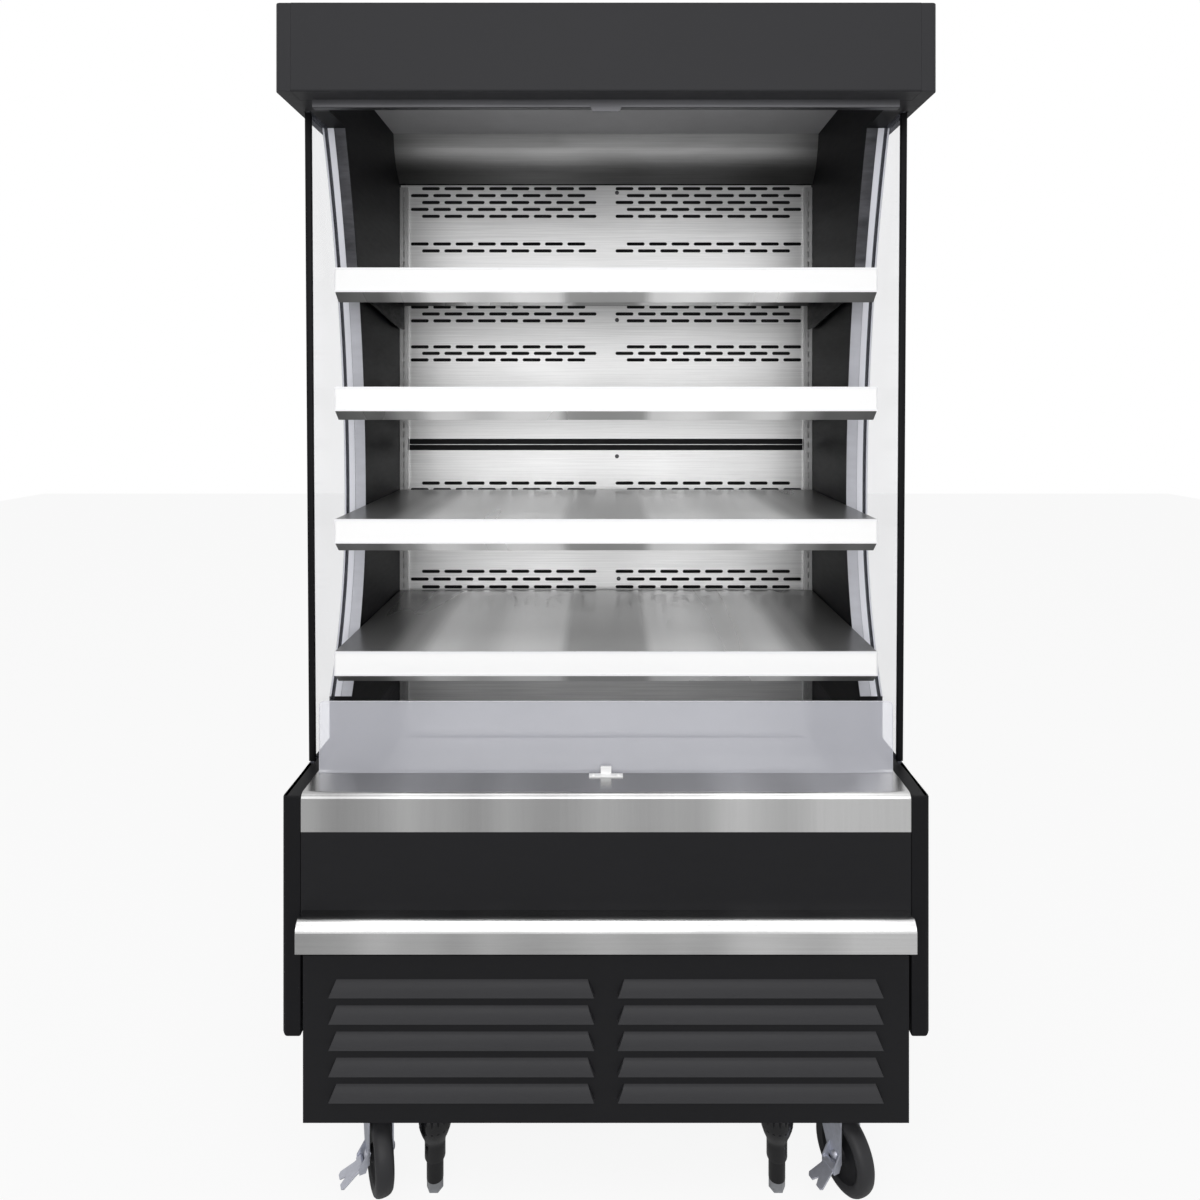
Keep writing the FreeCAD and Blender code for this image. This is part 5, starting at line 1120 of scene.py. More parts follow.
class FRIDGE_OT_folded_edges(Operator):
    """Rounds the folds and moulded edges of the panels, shelves, rails and caster forks"""

    bl_idname = "fridge.folded_edges"
    bl_label = "Rounded Edges"

    def execute(self, context):
        for node, (width, name, slot_name, body) in REFINED.items():
            piece = refined(node, width * MM)
            dress(piece, name)
            carried(piece, body)
            if node == "louver_panel":
                # The louvres' forward faces take the lighter coat, as a painted highlight.
                second_finish(piece, "louvre_painted_highlight", lambda c, n: c.y < FRONT - 0.4 * MM)
            if node.startswith("shelf_"):
                # The brackets under the shelf are painted black as painted shade.
                self.brackets_painted_shade(piece, span(node)[1].z)
            if node == "bumper":
                # The bumper's upward faces take the brighter steel, as a painted highlight.
                second_finish(piece, "bumper_painted_highlight", lambda c, n: 0.2 < n.z < 0.86 and n.y < 0)
            if node == "front_riser":
                # The riser's edge faces take the paler, more opaque finish, as a painted highlight.
                second_finish(piece, "riser_edge_painted_highlight", lambda c, n: abs(n.y) < 0.9)
        return {"FINISHED"}

    def brackets_painted_shade(self, shelf, top):
        """Paints the brackets under the rear of a shelf black, as painted shade under the shelf."""
        drop = 14 * MM
        bracket_start = FRONT + 0.16
        second_finish(shelf, "edge_black", lambda c, n: c.z < top - drop and c.y > bracket_start)


# ---------------------------------------------------------------- back of the display
class FRIDGE_OT_duct_slots(Operator):
    """Divides the long openings of the back panels into rows of short, round-ended air slots"""

    bl_idname = "fridge.duct_slots"
    bl_label = "Duct Slots"

    # Rows of slots: their rises over the deck, and the outer end of a row, in millimetres.
    outer_rises = (1328, 1294, 1209, 1054, 1020, 956, 924, 605, 385)
    inner_rises = (1345, 1311, 1277, 1192, 1037, 940, 621, 404, 366)
    outer_reach = 480
    inner_reach = 452.5
    slot_height = 8
    gauge = 1.2
    long_slot = 4

    def execute(self, context):
        values = settings(context, "detail")
        step = values.dash_length + values.dash_web
        far = -self.long_slot * step
        webs = repeated(repeated(self.web(values.dash_web), 3, (-step, 0, 0)), 2, (far, 0, 0))
        moved = copied(webs, "webs_moved", (-values.dash_length - values.dash_web / 2, 0, 0))
        ends = repeated(self.round_ends(far + values.dash_web), 2, (far, 0, 0))
        discard(webs)
        pattern = joined("pattern", [moved, ends])
        mirror_pattern = flipped(pattern, "pattern_mirrored")
        deck = span("deck_pan")[1].z
        rows = []
        for rises, reach in ((self.outer_rises, self.outer_reach), (self.inner_rises, self.inner_reach)):
            for rise in rises:
                level = deck + rise * MM
                rows.append(copied(pattern, "row", (reach * MM, 0, level)))
                rows.append(copied(mirror_pattern, "row", (-reach * MM, 0, level)))
        discard(pattern, mirror_pattern)
        piece = joined("duct_slot_webs", rows)
        dress(piece, "back_stainless")
        carried(piece, "cabinet")
        return {"FINISHED"}

    def end_cutter(self, x):
        """Round bar that cuts the rounded end of a slot."""
        face = BACK_LOW.y
        return rod("end", (x, face - 2 * MM, 0), (x, face + 4 * MM, 0), self.slot_height * MM / 2, 20)

    def web(self, width):
        """Metal between two slots, with both of its sides hollowed."""
        radius = self.slot_height * MM / 2
        reach = width / 2 + radius
        piece = block("web", (-reach, BACK_LOW.y, -radius), (reach, BACK_LOW.y + self.gauge * MM, radius))
        for side in (-1, 1):
            hollowed(piece, self.end_cutter(side * reach))
        return piece

    def round_ends(self, far):
        """Corners that round the two ends of a long slot."""
        radius = self.slot_height * MM / 2
        corner = block("corner", (-radius, BACK_LOW.y, -radius), (0, BACK_LOW.y + self.gauge * MM, radius))
        hollowed(corner, self.end_cutter(-radius))
        other = flipped(corner, "other_corner")
        shifted = copied(other, "far_corner", (far, 0, 0))
        discard(other)
        return joined("corners", [corner, shifted])


class FRIDGE_OT_back_screws(Operator):
    """Adds the screws of the back panels and the black strip over their joint, whose black is painted shade
    """

    bl_idname = "fridge.back_screws"
    bl_label = "Back Screws"

    # Places in millimetres, across and up.
    dark_places = ((27, 1883), (27, 1570), (27, 1235), (31, 934))
    low_places = (-48, 68)
    low_rise = 9

    def execute(self, context):
        self.screws("back_screws", "screw_dark", 5.0 * MM, self.dark_places)
        self.joint_strip()
        deck = span("deck_pan")[1].z / MM
        places = [(x, deck + self.low_rise) for x in self.low_places]
        self.screws("low_back_screws", "screw_bright", 5.5 * MM, places)
        return {"FINISHED"}

    def screws(self, name, finish_name, radius, places):
        """Screws of one kind in the back, modelled once and copied."""
        first = screw_head("screw_pattern", (0, BACK_LOW.y, 0), (0, -1, 0), radius)
        pieces = [copied(first, "screw", (x * MM, 0, z * MM)) for x, z in places]
        discard(first)
        piece = joined(name, pieces)
        dress(piece, finish_name)
        carried(piece, "cabinet")

    def joint_strip(self):
        """Black strip over the joint between the two back panels, with a groove along its middle; its black
        is painted shade for the joint's dark line.
        """
        middle = (span("lower_back_panel")[1].z + BACK_LOW.z) / 2 + 2.5 * MM
        front = BACK_LOW.y - 1.6 * MM
        reach = 483 * MM
        half = 14 * MM
        strip = block("back_joint_strip", (-reach, front, middle - half), (reach, BACK_LOW.y, middle + half))
        edit_faces(strip, lambda c, n: n.y < -0.9)
        bpy.ops.mesh.subdivide(number_cuts=2)
        leave_edit()
        edit_points(strip, lambda p: p.y < BACK_LOW.y - 1 * MM and abs(p.z - middle) < 8 * MM)
        bpy.ops.transform.resize(value=(1, 1, 0.2), center_override=(0, 0, middle))
        leave_edit()
        edit_faces(strip, lambda c, n: n.y < -0.9 and abs(c.z - middle) < 1 * MM)
        bpy.ops.mesh.extrude_region_move(TRANSFORM_OT_translate={"value": (0, 1.0 * MM, 0)})
        leave_edit()
        soften(strip, 0.3 * MM, 1, 60.0)
        clean(strip)
        dress(strip, "edge_black")
        second_finish(strip, "upright_stainless", lambda c, n: n.y < -0.9 and abs(c.z - middle) < 1 * MM)
        carried(strip, "cabinet")


class FRIDGE_OT_uprights(Operator):
    """Models the slotted uprights with a keyhole at every step"""

    bl_idname = "fridge.uprights"
    bl_label = "Shelf Uprights"

    def execute(self, context):
        pitch = settings(context, "detail").keyhole_pitch
        low, high = span("shelf_standards")
        width = 20 * MM
        keyhole_share = (0.6, 1.653)
        middle_x = high.x - width / 2
        hole_middle = span("shelf_1")[1].z - 13.75 * MM
        below = math.floor((hole_middle - pitch / 2 - low.z) / pitch)
        above = math.floor((high.z - hole_middle - pitch / 2) / pitch)
        first = hole_middle - below * pitch
        piece = upright_grid("shelf_uprights", (middle_x, low.y, first), width, pitch, 3, 3)
        edit_points(piece, lambda p: abs(p.x - middle_x) < width / 4)
        bpy.ops.transform.resize(value=(keyhole_share[0], 1, 1), center_override=(middle_x, low.y, first))
        leave_edit()
        edit_points(piece, lambda p: abs(p.z - first) < pitch / 4)
        bpy.ops.transform.resize(value=(1, 1, keyhole_share[1]), center_override=(middle_x, low.y, first))
        leave_edit()
        edit_faces(piece, lambda c, n: abs(c.x - middle_x) < 1 * MM and abs(c.z - first) < 1 * MM)
        bpy.ops.mesh.delete(type="FACE")
        leave_edit()
        repeated(piece, below + above + 1, (0, 0, pitch))
        clean(piece)
        top = first + (above + below) * pitch + pitch / 2
        bottom = first - pitch / 2
        for level, goal in ((bottom, low.z), (top, high.z)):
            edit_edges(piece, lambda a, b: abs(a.z - level) < 0.1 * MM and abs(b.z - level) < 0.1 * MM)
            bpy.ops.mesh.extrude_region_move(TRANSFORM_OT_translate={"value": (0, 0, goal - level)})
            leave_edit()
        edge = width / 2 - 0.1 * MM

        def is_outer(point):
            return abs(point.x - middle_x) > edge

        edit_edges(piece, lambda a, b: is_outer(a) and is_outer(b) and abs(a.x - b.x) < edge)
        bpy.ops.mesh.extrude_region_move(TRANSFORM_OT_translate={"value": (0, high.y - low.y, 0)})
        leave_edit()
        clean(piece)
        wall = piece.modifiers.new("gauge", "SOLIDIFY")
        wall.thickness = 2 * MM
        probe = min(piece.data.polygons, key=lambda face: face.center.y)
        wall.offset = -1.0 if probe.normal.y < 0 else 1.0
        apply_modifier(piece, wall)
        clean(piece)
        twin = flipped(piece, "left_upright")
        piece = joined("shelf_uprights", [piece, twin])
        dress(piece, "upright_stainless")
        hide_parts("shelf_standards")
        carried(piece, "cabinet")
        return {"FINISHED"}


# ---------------------------------------------------------------- ticket strips
class FRIDGE_OT_ticket_strips(Operator):
    """Puts a card and two end plugs in each shelf's ticket strip"""

    bl_idname = "fridge.ticket_strips"
    bl_label = "Ticket Strips"

    def execute(self, context):
        low, high = span("price_strip_1")
        card = self.card(low, high)
        plugs = self.plugs(low, high)
        for number in range(1, 5):
            offset = span(f"price_strip_{number}")[0] - low
            for pattern, name in ((card, "ticket_card"), (plugs, "strip_plugs")):
                piece = copied(pattern, f"{name}_{number}", offset)
                carried(piece, f"shelf_body_{number}")
        discard(card, plugs)
        return {"FINISHED"}

    def card(self, low, high):
        """Card that lies in the strip's pocket."""
        inset = 1.7 * MM
        end_gap = 1 * MM
        card = block(
            "card_pattern",
            (low.x + end_gap, low.y + 0.85 * MM, low.z + inset),
            (high.x - end_gap, low.y + 2.3 * MM, high.z - inset),
        )
        soften(card, 0.3 * MM, 1)
        dress(card, "ticket_card")
        return card

    def plugs(self, low, high):
        """Rounded plugs in the two ends of the strip."""
        plug = block(
            "plug_right",
            (high.x - 0.2 * MM, low.y + 0.3 * MM, low.z + 0.4 * MM),
            (high.x + 0.9 * MM, high.y - 0.3 * MM, high.z - 0.4 * MM),
        )
        soften(plug, 0.45 * MM, 2)
        plugs = joined("plug_pattern", [plug, flipped(plug, "plug_left")])
        dress(plugs, "strip_plastic")
        return plugs


# ---------------------------------------------------------------- side walls and glass
def wall_front(level):
    """Y of the side wall's hollow front edge at a level: two arcs that meet at its waist."""
    waist = Vector((0, FRONT + 0.338, 1.150))
    head = Vector((0, FRONT + 0.200, 1.903))
    foot = Vector((0, FRONT + 0.242, 0.785))
    end = head if level > waist.z else foot
    run = waist.y - end.y
    rise = end.z - waist.z
    radius = (run * run + rise * rise) / (2 * run)
    return waist.y - radius + math.sqrt(radius * radius - (level - waist.z) ** 2)


class FRIDGE_OT_wall_trims(Operator):
    """Lines the front of the side walls with their trim and gaskets, and edges the side glass"""

    bl_idname = "fridge.wall_trims"
    bl_label = "Side Trims"

    trim_foot = 0.786
    trim_head = 1.902
    trim_steps = 36
    channel_foot = 0.7085
    channel_head = 1.8990
    # The glass stands 22 mm further forward at its head than at its foot.
    glass_lean = (0.126 - 0.104) / (1.903 - 0.704)

    def execute(self, context):
        inner = WALL_LOW.x
        gap = 0.4 * MM
        self.trim("wall_trim", inner + 0.6 * MM, inner + 22 * MM, "wall_trim")
        self.trim("glass_gasket", inner + 22.4 * MM, GLASS_LOW.x - gap, "gasket_white")
        self.trim("outer_gasket", GLASS_HIGH.x + gap, WALL_HIGH.x - gap, "gasket_white")
        self.glass_channels()
        return {"FINISHED"}

    def trim(self, name, start, end, finish_name):
        """Thin band that follows the wall's front edge, on both sides of the cabinet."""
        rise = (self.trim_head - self.trim_foot) / self.trim_steps
        levels = [self.trim_foot + rise * i for i in range(self.trim_steps + 1)]
        band = line_through(name, [(start, wall_front(z) - 0.9 * MM, z) for z in levels])
        activate(band)
        bpy.ops.object.mode_set(mode="EDIT")
        bpy.ops.mesh.select_all(action="SELECT")
        bpy.ops.mesh.extrude_region_move(TRANSFORM_OT_translate={"value": (end - start, 0, 0)})
        leave_edit()
        clean(band)
        wall = band.modifiers.new("gauge", "SOLIDIFY")
        wall.thickness = 1.2 * MM
        wall.offset = -1.0 if band.data.polygons[0].normal.y < 0 else 1.0
        apply_modifier(band, wall)
        soften(band, 0.35 * MM, 2, 60.0)
        smooth(band, 30.0)
        piece = joined(name + "s", [band, flipped(band, name + "_left")])
        dress(piece, finish_name)
        carried(piece, "cabinet")

    def glass_channels(self):
        """Black channels that hold the front edges of the side glass."""
        lip = 2.6 * MM
        channel = block(
            "glass_channel",
            (GLASS_LOW.x - lip, GLASS_LOW.y - 1.6 * MM, self.channel_foot),
            (GLASS_HIGH.x + lip, GLASS_LOW.y + 7 * MM, self.channel_head),
        )
        middle = (self.channel_foot + self.channel_head) / 2
        lean = self.glass_lean * (self.channel_head - self.channel_foot)
        edit_points(channel, lambda p: p.z < middle)
        bpy.ops.transform.translate(value=(0, lean, 0))
        leave_edit()
        soften(channel, 1.4 * MM, 3)
        smooth(channel)
        piece = joined("glass_channels", [channel, flipped(channel, "glass_channel_left")])
        dress(piece, "edge_black")
        carried(piece, "cabinet")


# ---------------------------------------------------------------- night curtain
class FRIDGE_OT_night_curtain(Operator):
    """Winds the night curtain on its roller and hangs its free end on the pull bar"""

    bl_idname = "fridge.night_curtain"
    bl_label = "Night Curtain"

    steps = 24
    core_radius = 8.4
    outer_gap = 0.25

    def execute(self, context):
        values = settings(context, "detail")
        width = CLOTH_HIGH.x - CLOTH_LOW.x
        points = self.winding(values.cloth_turns)
        roll = line_through("wound_curtain", points)
        activate(roll)
        bpy.ops.object.mode_set(mode="EDIT")
        bpy.ops.mesh.select_all(action="SELECT")
        bpy.ops.mesh.extrude_region_move(TRANSFORM_OT_translate={"value": (width, 0, 0)})
        leave_edit()
        self.thicken(roll, values.cloth_gauge * 0.7, 40.0)
        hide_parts("curtain_cloth")
        carried(roll, "curtain_roll")
        self.free_end(width, (CLOTH_LOW.z + CLOTH_HIGH.z) / 2, values.cloth_gauge)
        return {"FINISHED"}

    def winding(self, turns):
        """Points along one edge of the wound cloth, from the outside in."""
        middle = (CLOTH_LOW + CLOTH_HIGH) / 2
        outer = (CLOTH_HIGH.z - CLOTH_LOW.z) / 2 - self.outer_gap * MM
        inner = self.core_radius * MM
        count = turns * self.steps
        points = []
        for i in range(count + 1):
            turn = 2 * math.pi * i / self.steps
            radius = outer - (outer - inner) * i / count
            y = middle.y + radius * math.cos(turn)
            z = middle.z - radius * math.sin(turn)
            points.append(Vector((CLOTH_LOW.x, y, z)))
        return points

    def thicken(self, cloth, gauge, angle):
        """Gives cloth its thickness and its finish."""
        wall = cloth.modifiers.new("gauge", "SOLIDIFY")
        wall.thickness = gauge
        wall.offset = 0.0
        apply_modifier(cloth, wall)
        clean(cloth, 1e-6)
        smooth(cloth, angle)
        dress(cloth, "curtain_cloth")

    def free_end(self, width, top, gauge):
        """The cloth between the roll and the pull bar, with a faint ripple halfway down."""
        y = (BAR_LOW.y + BAR_HIGH.y) / 2
        bottom = BAR_HIGH.z
        drop = top - bottom
        ripple_depth = 0.5 * MM
        ripples_per_metre = 22.0
        piece = upright_grid("hanging_curtain", (0, y, (top + bottom) / 2), width, drop, 40, 12)
        for point in piece.data.vertices:
            slack = 4 * (top - point.co.z) * (point.co.z - bottom) / drop**2
            point.co.y += ripple_depth * slack * math.sin(point.co.x * ripples_per_metre)
        self.thicken(piece, gauge, 60.0)
        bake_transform(piece)


# ---------------------------------------------------------------- small fittings
class FRIDGE_OT_fittings(Operator):
    """Adds the curtain catch's screws and the supply inlet's pins"""

    bl_idname = "fridge.fittings"
    bl_label = "Small Fittings"

    screw_spread = 22
    # Places of the inlet's pins in millimetres, across and up.
    pin_places = ((422.5, 206), (437.5, 206), (430, 214))

    def execute(self, context):
        self.catch_screws()
        self.inlet_pins()
        return {"FINISHED"}

    def catch_screws(self):
        """Screws on both sides of the curtain catch."""
        low, high = span("curtain_catch")
        place = (0, (low.y + high.y) / 2 - 0.5 * MM, low.z + 2 * MM)
        first = screw_head("catch_screw", place, (0, 0, 1), 3.6 * MM)
        screws = [copied(first, "screw", (side * self.screw_spread * MM, 0, 0)) for side in (-1, 1)]
        discard(first)
        piece = joined("catch_screws", screws)
        dress(piece, "catch_plastic")
        carried(piece, "cabinet")

    def inlet_pins(self):
        """Three pins inside the supply inlet."""
        back = span("rear_grille")[1].y
        tip = Vector((-2 * MM, back - 20 * MM, -1 * MM))
        root = Vector((2 * MM, back - 6 * MM, 1 * MM))
        first = block("pin", tip, root)
        soften(first, 0.5 * MM, 2)
        pins = [copied(first, "inlet_pin", (x * MM, 0, z * MM)) for x, z in self.pin_places]
        discard(first)
        piece = joined("inlet_pins", pins)
        dress(piece, "foot_chrome")
        carried(piece, "cabinet")


class FRIDGE_OT_honeycomb(Operator):
    """Models the honeycomb that straightens the air curtain"""

    bl_idname = "fridge.honeycomb"
    bl_label = "Honeycomb"

    def execute(self, context):
        cell = settings(context, "detail").cell_width
        low, high = span("honeycomb_grille")
        rim = 1.0 * MM
        radius = cell / math.sqrt(3)
        row_step = cell * math.sqrt(3) / 2
        rows = int((high.y - low.y - 2 * rim) / row_step)
        rows -= rows % 2
        columns = int((high.x - low.x - 2 * rim) / cell) - 1
        depth = high.z - low.z - 2 * MM
        x0 = -(columns + 0.5) * cell / 2 + cell / 2
        y0 = (low.y + high.y) / 2 - (rows - 1) * row_step / 2
        deselect()
        bpy.ops.mesh.primitive_cylinder_add(
            vertices=6,
            radius=radius * 0.985,
            depth=depth,
            end_fill_type="NOTHING",
            location=(x0, y0, (low.z + high.z) / 2),
        )
        first = settle("cells")
        second = copied(first, "cells_offset", (cell / 2, row_step, 0))
        cells = joined("honeycomb_cells", [first, second])
        repeated(repeated(cells, columns, (cell, 0, 0)), rows // 2, (0, 2 * row_step, 0))
        wall = cells.modifiers.new("gauge", "SOLIDIFY")
        wall.thickness = 0.2 * MM
        wall.offset = -1.0
        apply_modifier(cells, wall)
        border = block("rim", low, high)
        inside = Vector((rim, rim, -rim))
        hollowed(border, block("inside", low + inside, high - inside))
        soften(border, 0.2 * MM, 1)
        piece = joined("honeycomb_cells", [cells, border])
        dress(piece, "honeycomb_plastic")
        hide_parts("honeycomb_grille")
        carried(piece, "cabinet")
        return {"FINISHED"}


# ---------------------------------------------------------------- casters and feet
# Swivel axis of each caster, and the angle at which all four stand.
CASTERS = {
    "front_left": (-0.407, FRONT + 0.068),
    "front_right": (0.407, FRONT + 0.068),
    "rear_left": (-0.407, 0.3075),
    "rear_right": (0.407, 0.3075),
}
CASTER_YAW = math.radians(25)


def caster_place(name, x, y, z):
    """Place of a point given from a caster's swivel axis, before its turn."""
    base_x, base_y = CASTERS[name]
    turn_x = x * math.cos(CASTER_YAW) - y * math.sin(CASTER_YAW)
    turn_y = x * math.sin(CASTER_YAW) + y * math.cos(CASTER_YAW)
    return Vector((base_x + turn_x, base_y + turn_y, z))


class FRIDGE_OT_wheels(Operator):
    """Models the caster wheels with their rounded treads and hubs, and the axle nuts"""

    bl_idname = "fridge.wheels"
    bl_label = "Caster Wheels"

    # Radius and place along the axle in millimetres: half of the wheel's profile, and the nut's.
    half_profile = (
        (5.4, -15.4),
        (11.5, -15.6),
        (13.0, -14.6),
        (14.5, -11.0),
        (20.0, -9.2),
        (34.0, -8.6),
        (41.5, -9.6),
        (44.5, -12.4),
        (46.5, -14.4),
        (50.0, -15.6),
        (54.5, -15.9),
        (58.5, -14.6),
        (61.4, -11.6),
        (62.9, -7.4),
        (63.5, -2.5),
    )
    nut_profile = ((0, 4.4), (3.4, 4.2), (6.2, 3.0), (8.0, 1.0), (8.4, -0.1), (0, -0.1))
    hub_radius = 44
    nut_spread = 22.2
    trail = 25
    axle_height = 63.5

    def execute(self, context):
        home = caster_place("front_left", 0, 0, 0)
        wheel = self.wheel("front_left")
        nuts = self.nuts("front_left")
        for name in CASTERS:
            offset = caster_place(name, 0, 0, 0) - home
            piece = copied(wheel, f"wheel_{name}_finished", offset)
            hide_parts(f"caster_wheel_{name}")
            carried(piece, f"wheel_{name}")
            pair = copied(nuts, f"axle_nuts_{name}", offset)
            carried(pair, f"caster_{name}")
        discard(wheel, nuts)
        return {"FINISHED"}

    def axle(self):
        """Direction of the axles."""
        return Vector((math.cos(CASTER_YAW), math.sin(CASTER_YAW), 0))

    def wheel(self, name):
        """One wheel, turned from its profile, with a rubber tread and a plastic hub."""
        half = list(self.half_profile)
        mirrored_half = [(radius, -along) for radius, along in reversed(half)]
        profile = in_metres(half + mirrored_half + [half[0]])
        centre = caster_place(name, 0, -self.trail * MM, self.axle_height * MM)
        axis = self.axle()
        wheel = turned("wheel_pattern", profile, centre, axis, 72)
        dress(wheel, "wheel_rubber")
        second_finish(wheel, "wheel_hub", lambda c, n: (c - centre).cross(axis).length < self.hub_radius * MM)
        return wheel

    def nuts(self, name):
        """Domed nuts on the two ends of an axle."""
        profile = in_metres(self.nut_profile)
        pieces = []
        for side in (-1, 1):
            place = caster_place(name, side * self.nut_spread * MM, -self.trail * MM, self.axle_height * MM)
            pieces.append(turned("nut", profile, place, self.axle() * side, 24))
        piece = joined("nut_pattern", pieces)
        dress(piece, "pedal_zinc")
        return piece


class FRIDGE_OT_feet(Operator):
    """Covers the leg sockets with their turned sleeves, and gives the feet a black tube and chrome end"""

    bl_idname = "fridge.feet"
    bl_label = "Levelling Feet"

    # Radius and height in millimetres: the sleeve's outer side downwards, then its bore.
    sleeve_profile = (
        (28.4, 149.6),
        (28.6, 147),
        (28.6, 138),
        (27.6, 136.6),
        (27.8, 128),
        (28.3, 117),
        (27.0, 108),
        (23.5, 98),
        (20.0, 90.5),
        (18.1, 85),
        (17.9, 80),
        (17.9, 56),
        (17.4, 54.2),
        (15.2, 54.0),
        (15.2, 149.6),
        (28.4, 149.6),
    )
    chrome_height = 18.5

    def execute(self, context):
        sleeve = turned("sleeve_pattern", in_metres(self.sleeve_profile), (0, 0, 0), (0, 0, 1))
        dress(sleeve, "leg_black")
        for label in ("left", "right"):
            node = f"levelling_foot_{label}"
            low, high = span(node)
            centre = ((low.x + high.x) / 2, (low.y + high.y) / 2, 0)
            carried(copied(sleeve, f"leg_sleeve_{label}", centre), "cabinet")
            foot = refined(node, 0.6 * MM)
            dress(foot, "leg_black")
            second_finish(foot, "foot_chrome", lambda c, n: c.z < self.chrome_height * MM)
            carried(foot, f"foot_{label}")
        discard(sleeve)
        return {"FINISHED"}


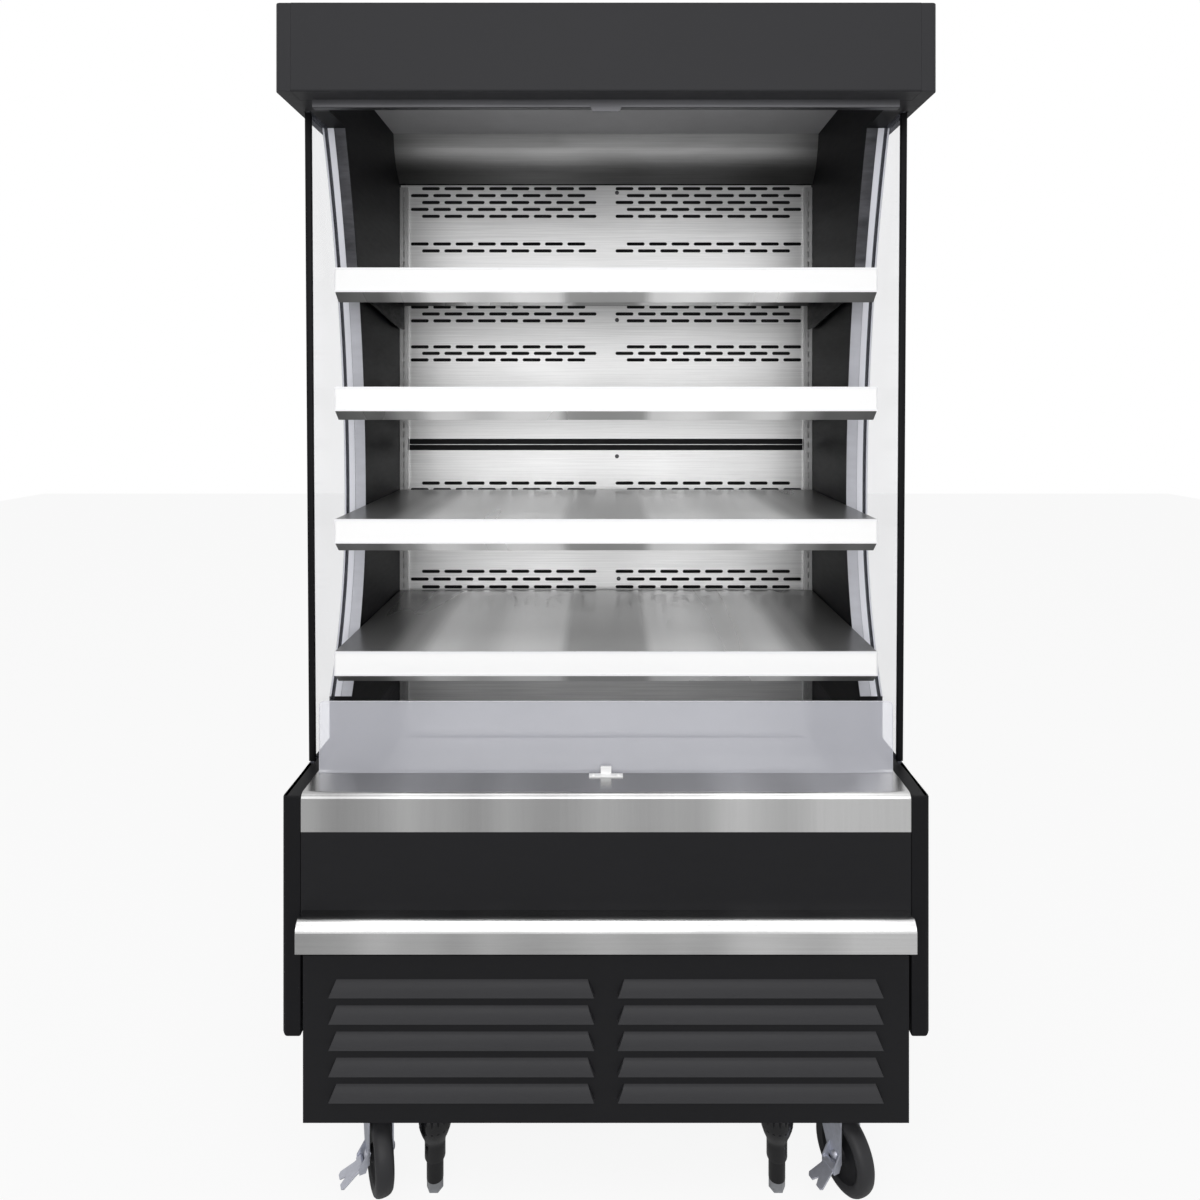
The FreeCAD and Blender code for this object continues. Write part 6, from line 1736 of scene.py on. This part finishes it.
# ---------------------------------------------------------------- cooling parts
class FRIDGE_OT_cooling(Operator):
    """Models the compressor's domed shell, the coils' fins and the pipe"""

    bl_idname = "fridge.cooling"
    bl_label = "Cooling Parts"

    # Radius and height in millimetres of the compressor's shell, and of one of its rubber feet.
    shell_profile = (
        (0, 171.2),
        (60, 171.4),
        (76, 176),
        (81.5, 186),
        (81.5, 250),
        (84.5, 252),
        (84.5, 258),
        (81.5, 260),
        (81.5, 300),
        (78, 322),
        (66, 338),
        (45, 345),
        (20, 346.8),
        (0, 347),
    )
    grommet_profile = (
        (0, 153.2),
        (10.5, 153.2),
        (10.8, 155),
        (9.0, 159),
        (10.8, 163),
        (10.5, 166.8),
        (0, 166.8),
    )

    def execute(self, context):
        pitch = settings(context, "detail").fin_pitch
        self.compressor()
        self.fins("condenser_coil", pitch)
        self.fins("evaporator_coil", pitch * 1.5)
        self.pipe()
        return {"FINISHED"}

    def pipe(self):
        """Discharge pipe from the compressor to the coil, with two swept bends."""
        low, high = span("refrigerant_lines")
        z = (low.z + high.z) / 2
        y_end = high.y - 6 * MM
        y_start = low.y + 6 * MM
        run_x = low.x + 60 * MM
        bend = 40 * MM
        route = [
            (high.x, y_end, z),
            (run_x + bend, y_end, z),
            (run_x, y_end, z),
            (run_x, y_end - bend, z),
            (run_x, y_start + bend, z),
            (run_x, y_start, z),
            (run_x - 30 * MM, y_start, z),
            (low.x, y_start, z),
        ]
        piece = tube("discharge_pipe", route, 5.9 * MM)
        dress(piece, "copper_pipe")
        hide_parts("refrigerant_lines")
        carried(piece, "cabinet")

    def compressor(self):
        """Domed shell with its weld flange, feet and terminal cover."""
        low, high = span("compressor")
        centre = Vector((0.150, FRONT + 0.330, 0))
        foot_inset = 11 * MM
        plate_height = (0.167, 0.171)
        shell = turned("shell", in_metres(self.shell_profile), centre, (0, 0, 1), 56)
        plate = block("plate", (low.x, low.y, plate_height[0]), (high.x, high.y, plate_height[1]))
        cover = block(
            "cover",
            (centre.x + 70 * MM, centre.y - 28 * MM, 0.221),
            (centre.x + 108 * MM, centre.y + 28 * MM, 0.291),
        )
        parts = [shell, soften(plate, 1.2 * MM, 2), soften(cover, 6 * MM, 4)]
        grommet = turned("grommet", in_metres(self.grommet_profile), (0, 0, 0), (0, 0, 1), 20)
        for x in (low.x + foot_inset, high.x - foot_inset):
            for y in (low.y + foot_inset, high.y - foot_inset):
                parts.append(copied(grommet, "rubber_foot", (x, y, 0)))
        discard(grommet)
        piece = joined("compressor_shell", parts)
        smooth(piece, 40.0)
        dress(piece, "compressor_enamel")
        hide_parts("compressor")
        carried(piece, "cabinet")

    def fins(self, node, pitch):
        """Thin fins between a coil's end plates, with the tubes that run through them."""
        low, high = span(node)
        plate_gauge = 2 * MM
        fin_gauge = 0.5 * MM
        tube_pitch = 32 * MM
        count = int((high.x - low.x - 3 * plate_gauge) / pitch)
        start = (low.x + high.x) / 2 - count * pitch / 2
        depth = high.y - low.y
        fin_low = (start, low.y + 1 * MM, low.z + 3 * MM)
        fin_high = (start + fin_gauge, high.y - 1 * MM, high.z - 3 * MM)
        fin = repeated(block("fin", fin_low, fin_high), count, (pitch, 0, 0))
        plate = soften(block("plate", low, (low.x + plate_gauge, high.y, high.z)), 0.4 * MM, 1)
        far_plate = copied(plate, "far_plate", (high.x - low.x - plate_gauge, 0, 0))
        rows = int((high.z - low.z) / (34 * MM))
        tube_y = low.y + 1 * MM + depth * 0.3
        tube_z = low.z + 20 * MM
        tubes = rod("tube", (low.x + 1 * MM, tube_y, tube_z), (high.x - 1 * MM, tube_y, tube_z), 4 * MM, 12)
        repeated(repeated(tubes, 2, (0, depth * 0.4, 0)), rows, (0, 0, tube_pitch))
        piece = joined(node + "_fins", [fin, plate, far_plate, tubes])
        dress(piece, "coil_aluminium")
        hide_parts(node)
        carried(piece, "cabinet")


# ---------------------------------------------------------------- panel and registration
class FRIDGE_PT_panel(Panel):
    """Steps that dress the display fridge"""

    bl_label = "Display Fridge"
    bl_idname = "FRIDGE_PT_panel"
    bl_space_type = "VIEW_3D"
    bl_region_type = "UI"
    bl_category = "Display Fridge"

    def draw(self, context):
        for step in STEPS:
            self.layout.operator(step.bl_idname)
        for group in GROUPS:
            values = settings(context, group)
            for name in values.bl_rna.properties.keys():
                if name not in ("rna_type", "name"):
                    self.layout.prop(values, name)


STEPS = (
    FRIDGE_OT_stage,
    FRIDGE_OT_finishes,
    FRIDGE_OT_folded_edges,
    FRIDGE_OT_duct_slots,
    FRIDGE_OT_back_screws,
    FRIDGE_OT_uprights,
    FRIDGE_OT_ticket_strips,
    FRIDGE_OT_wall_trims,
    FRIDGE_OT_night_curtain,
    FRIDGE_OT_fittings,
    FRIDGE_OT_honeycomb,
    FRIDGE_OT_wheels,
    FRIDGE_OT_feet,
    FRIDGE_OT_cooling,
)
GROUPS = {"studio": StudioSettings, "finish": FinishSettings, "detail": DetailSettings}


def register():
    """Adds the settings, the steps and the panel."""
    for group, kind in GROUPS.items():
        bpy.utils.register_class(kind)
        setattr(bpy.types.Scene, "fridge_" + group, PointerProperty(type=kind))
    for step in STEPS:
        bpy.utils.register_class(step)
    bpy.utils.register_class(FRIDGE_PT_panel)


def unregister():
    """Removes the panel, the steps and the settings."""
    bpy.utils.unregister_class(FRIDGE_PT_panel)
    for step in reversed(STEPS):
        bpy.utils.unregister_class(step)
    for group, kind in GROUPS.items():
        delattr(bpy.types.Scene, "fridge_" + group)
        bpy.utils.unregister_class(kind)


def main():
    """Runs every step in order."""
    register()
    for step in STEPS:
        name = step.bl_idname.split(".")[1]
        getattr(bpy.ops.fridge, name)()
    deselect()


if __name__ == "__main__":
    main()
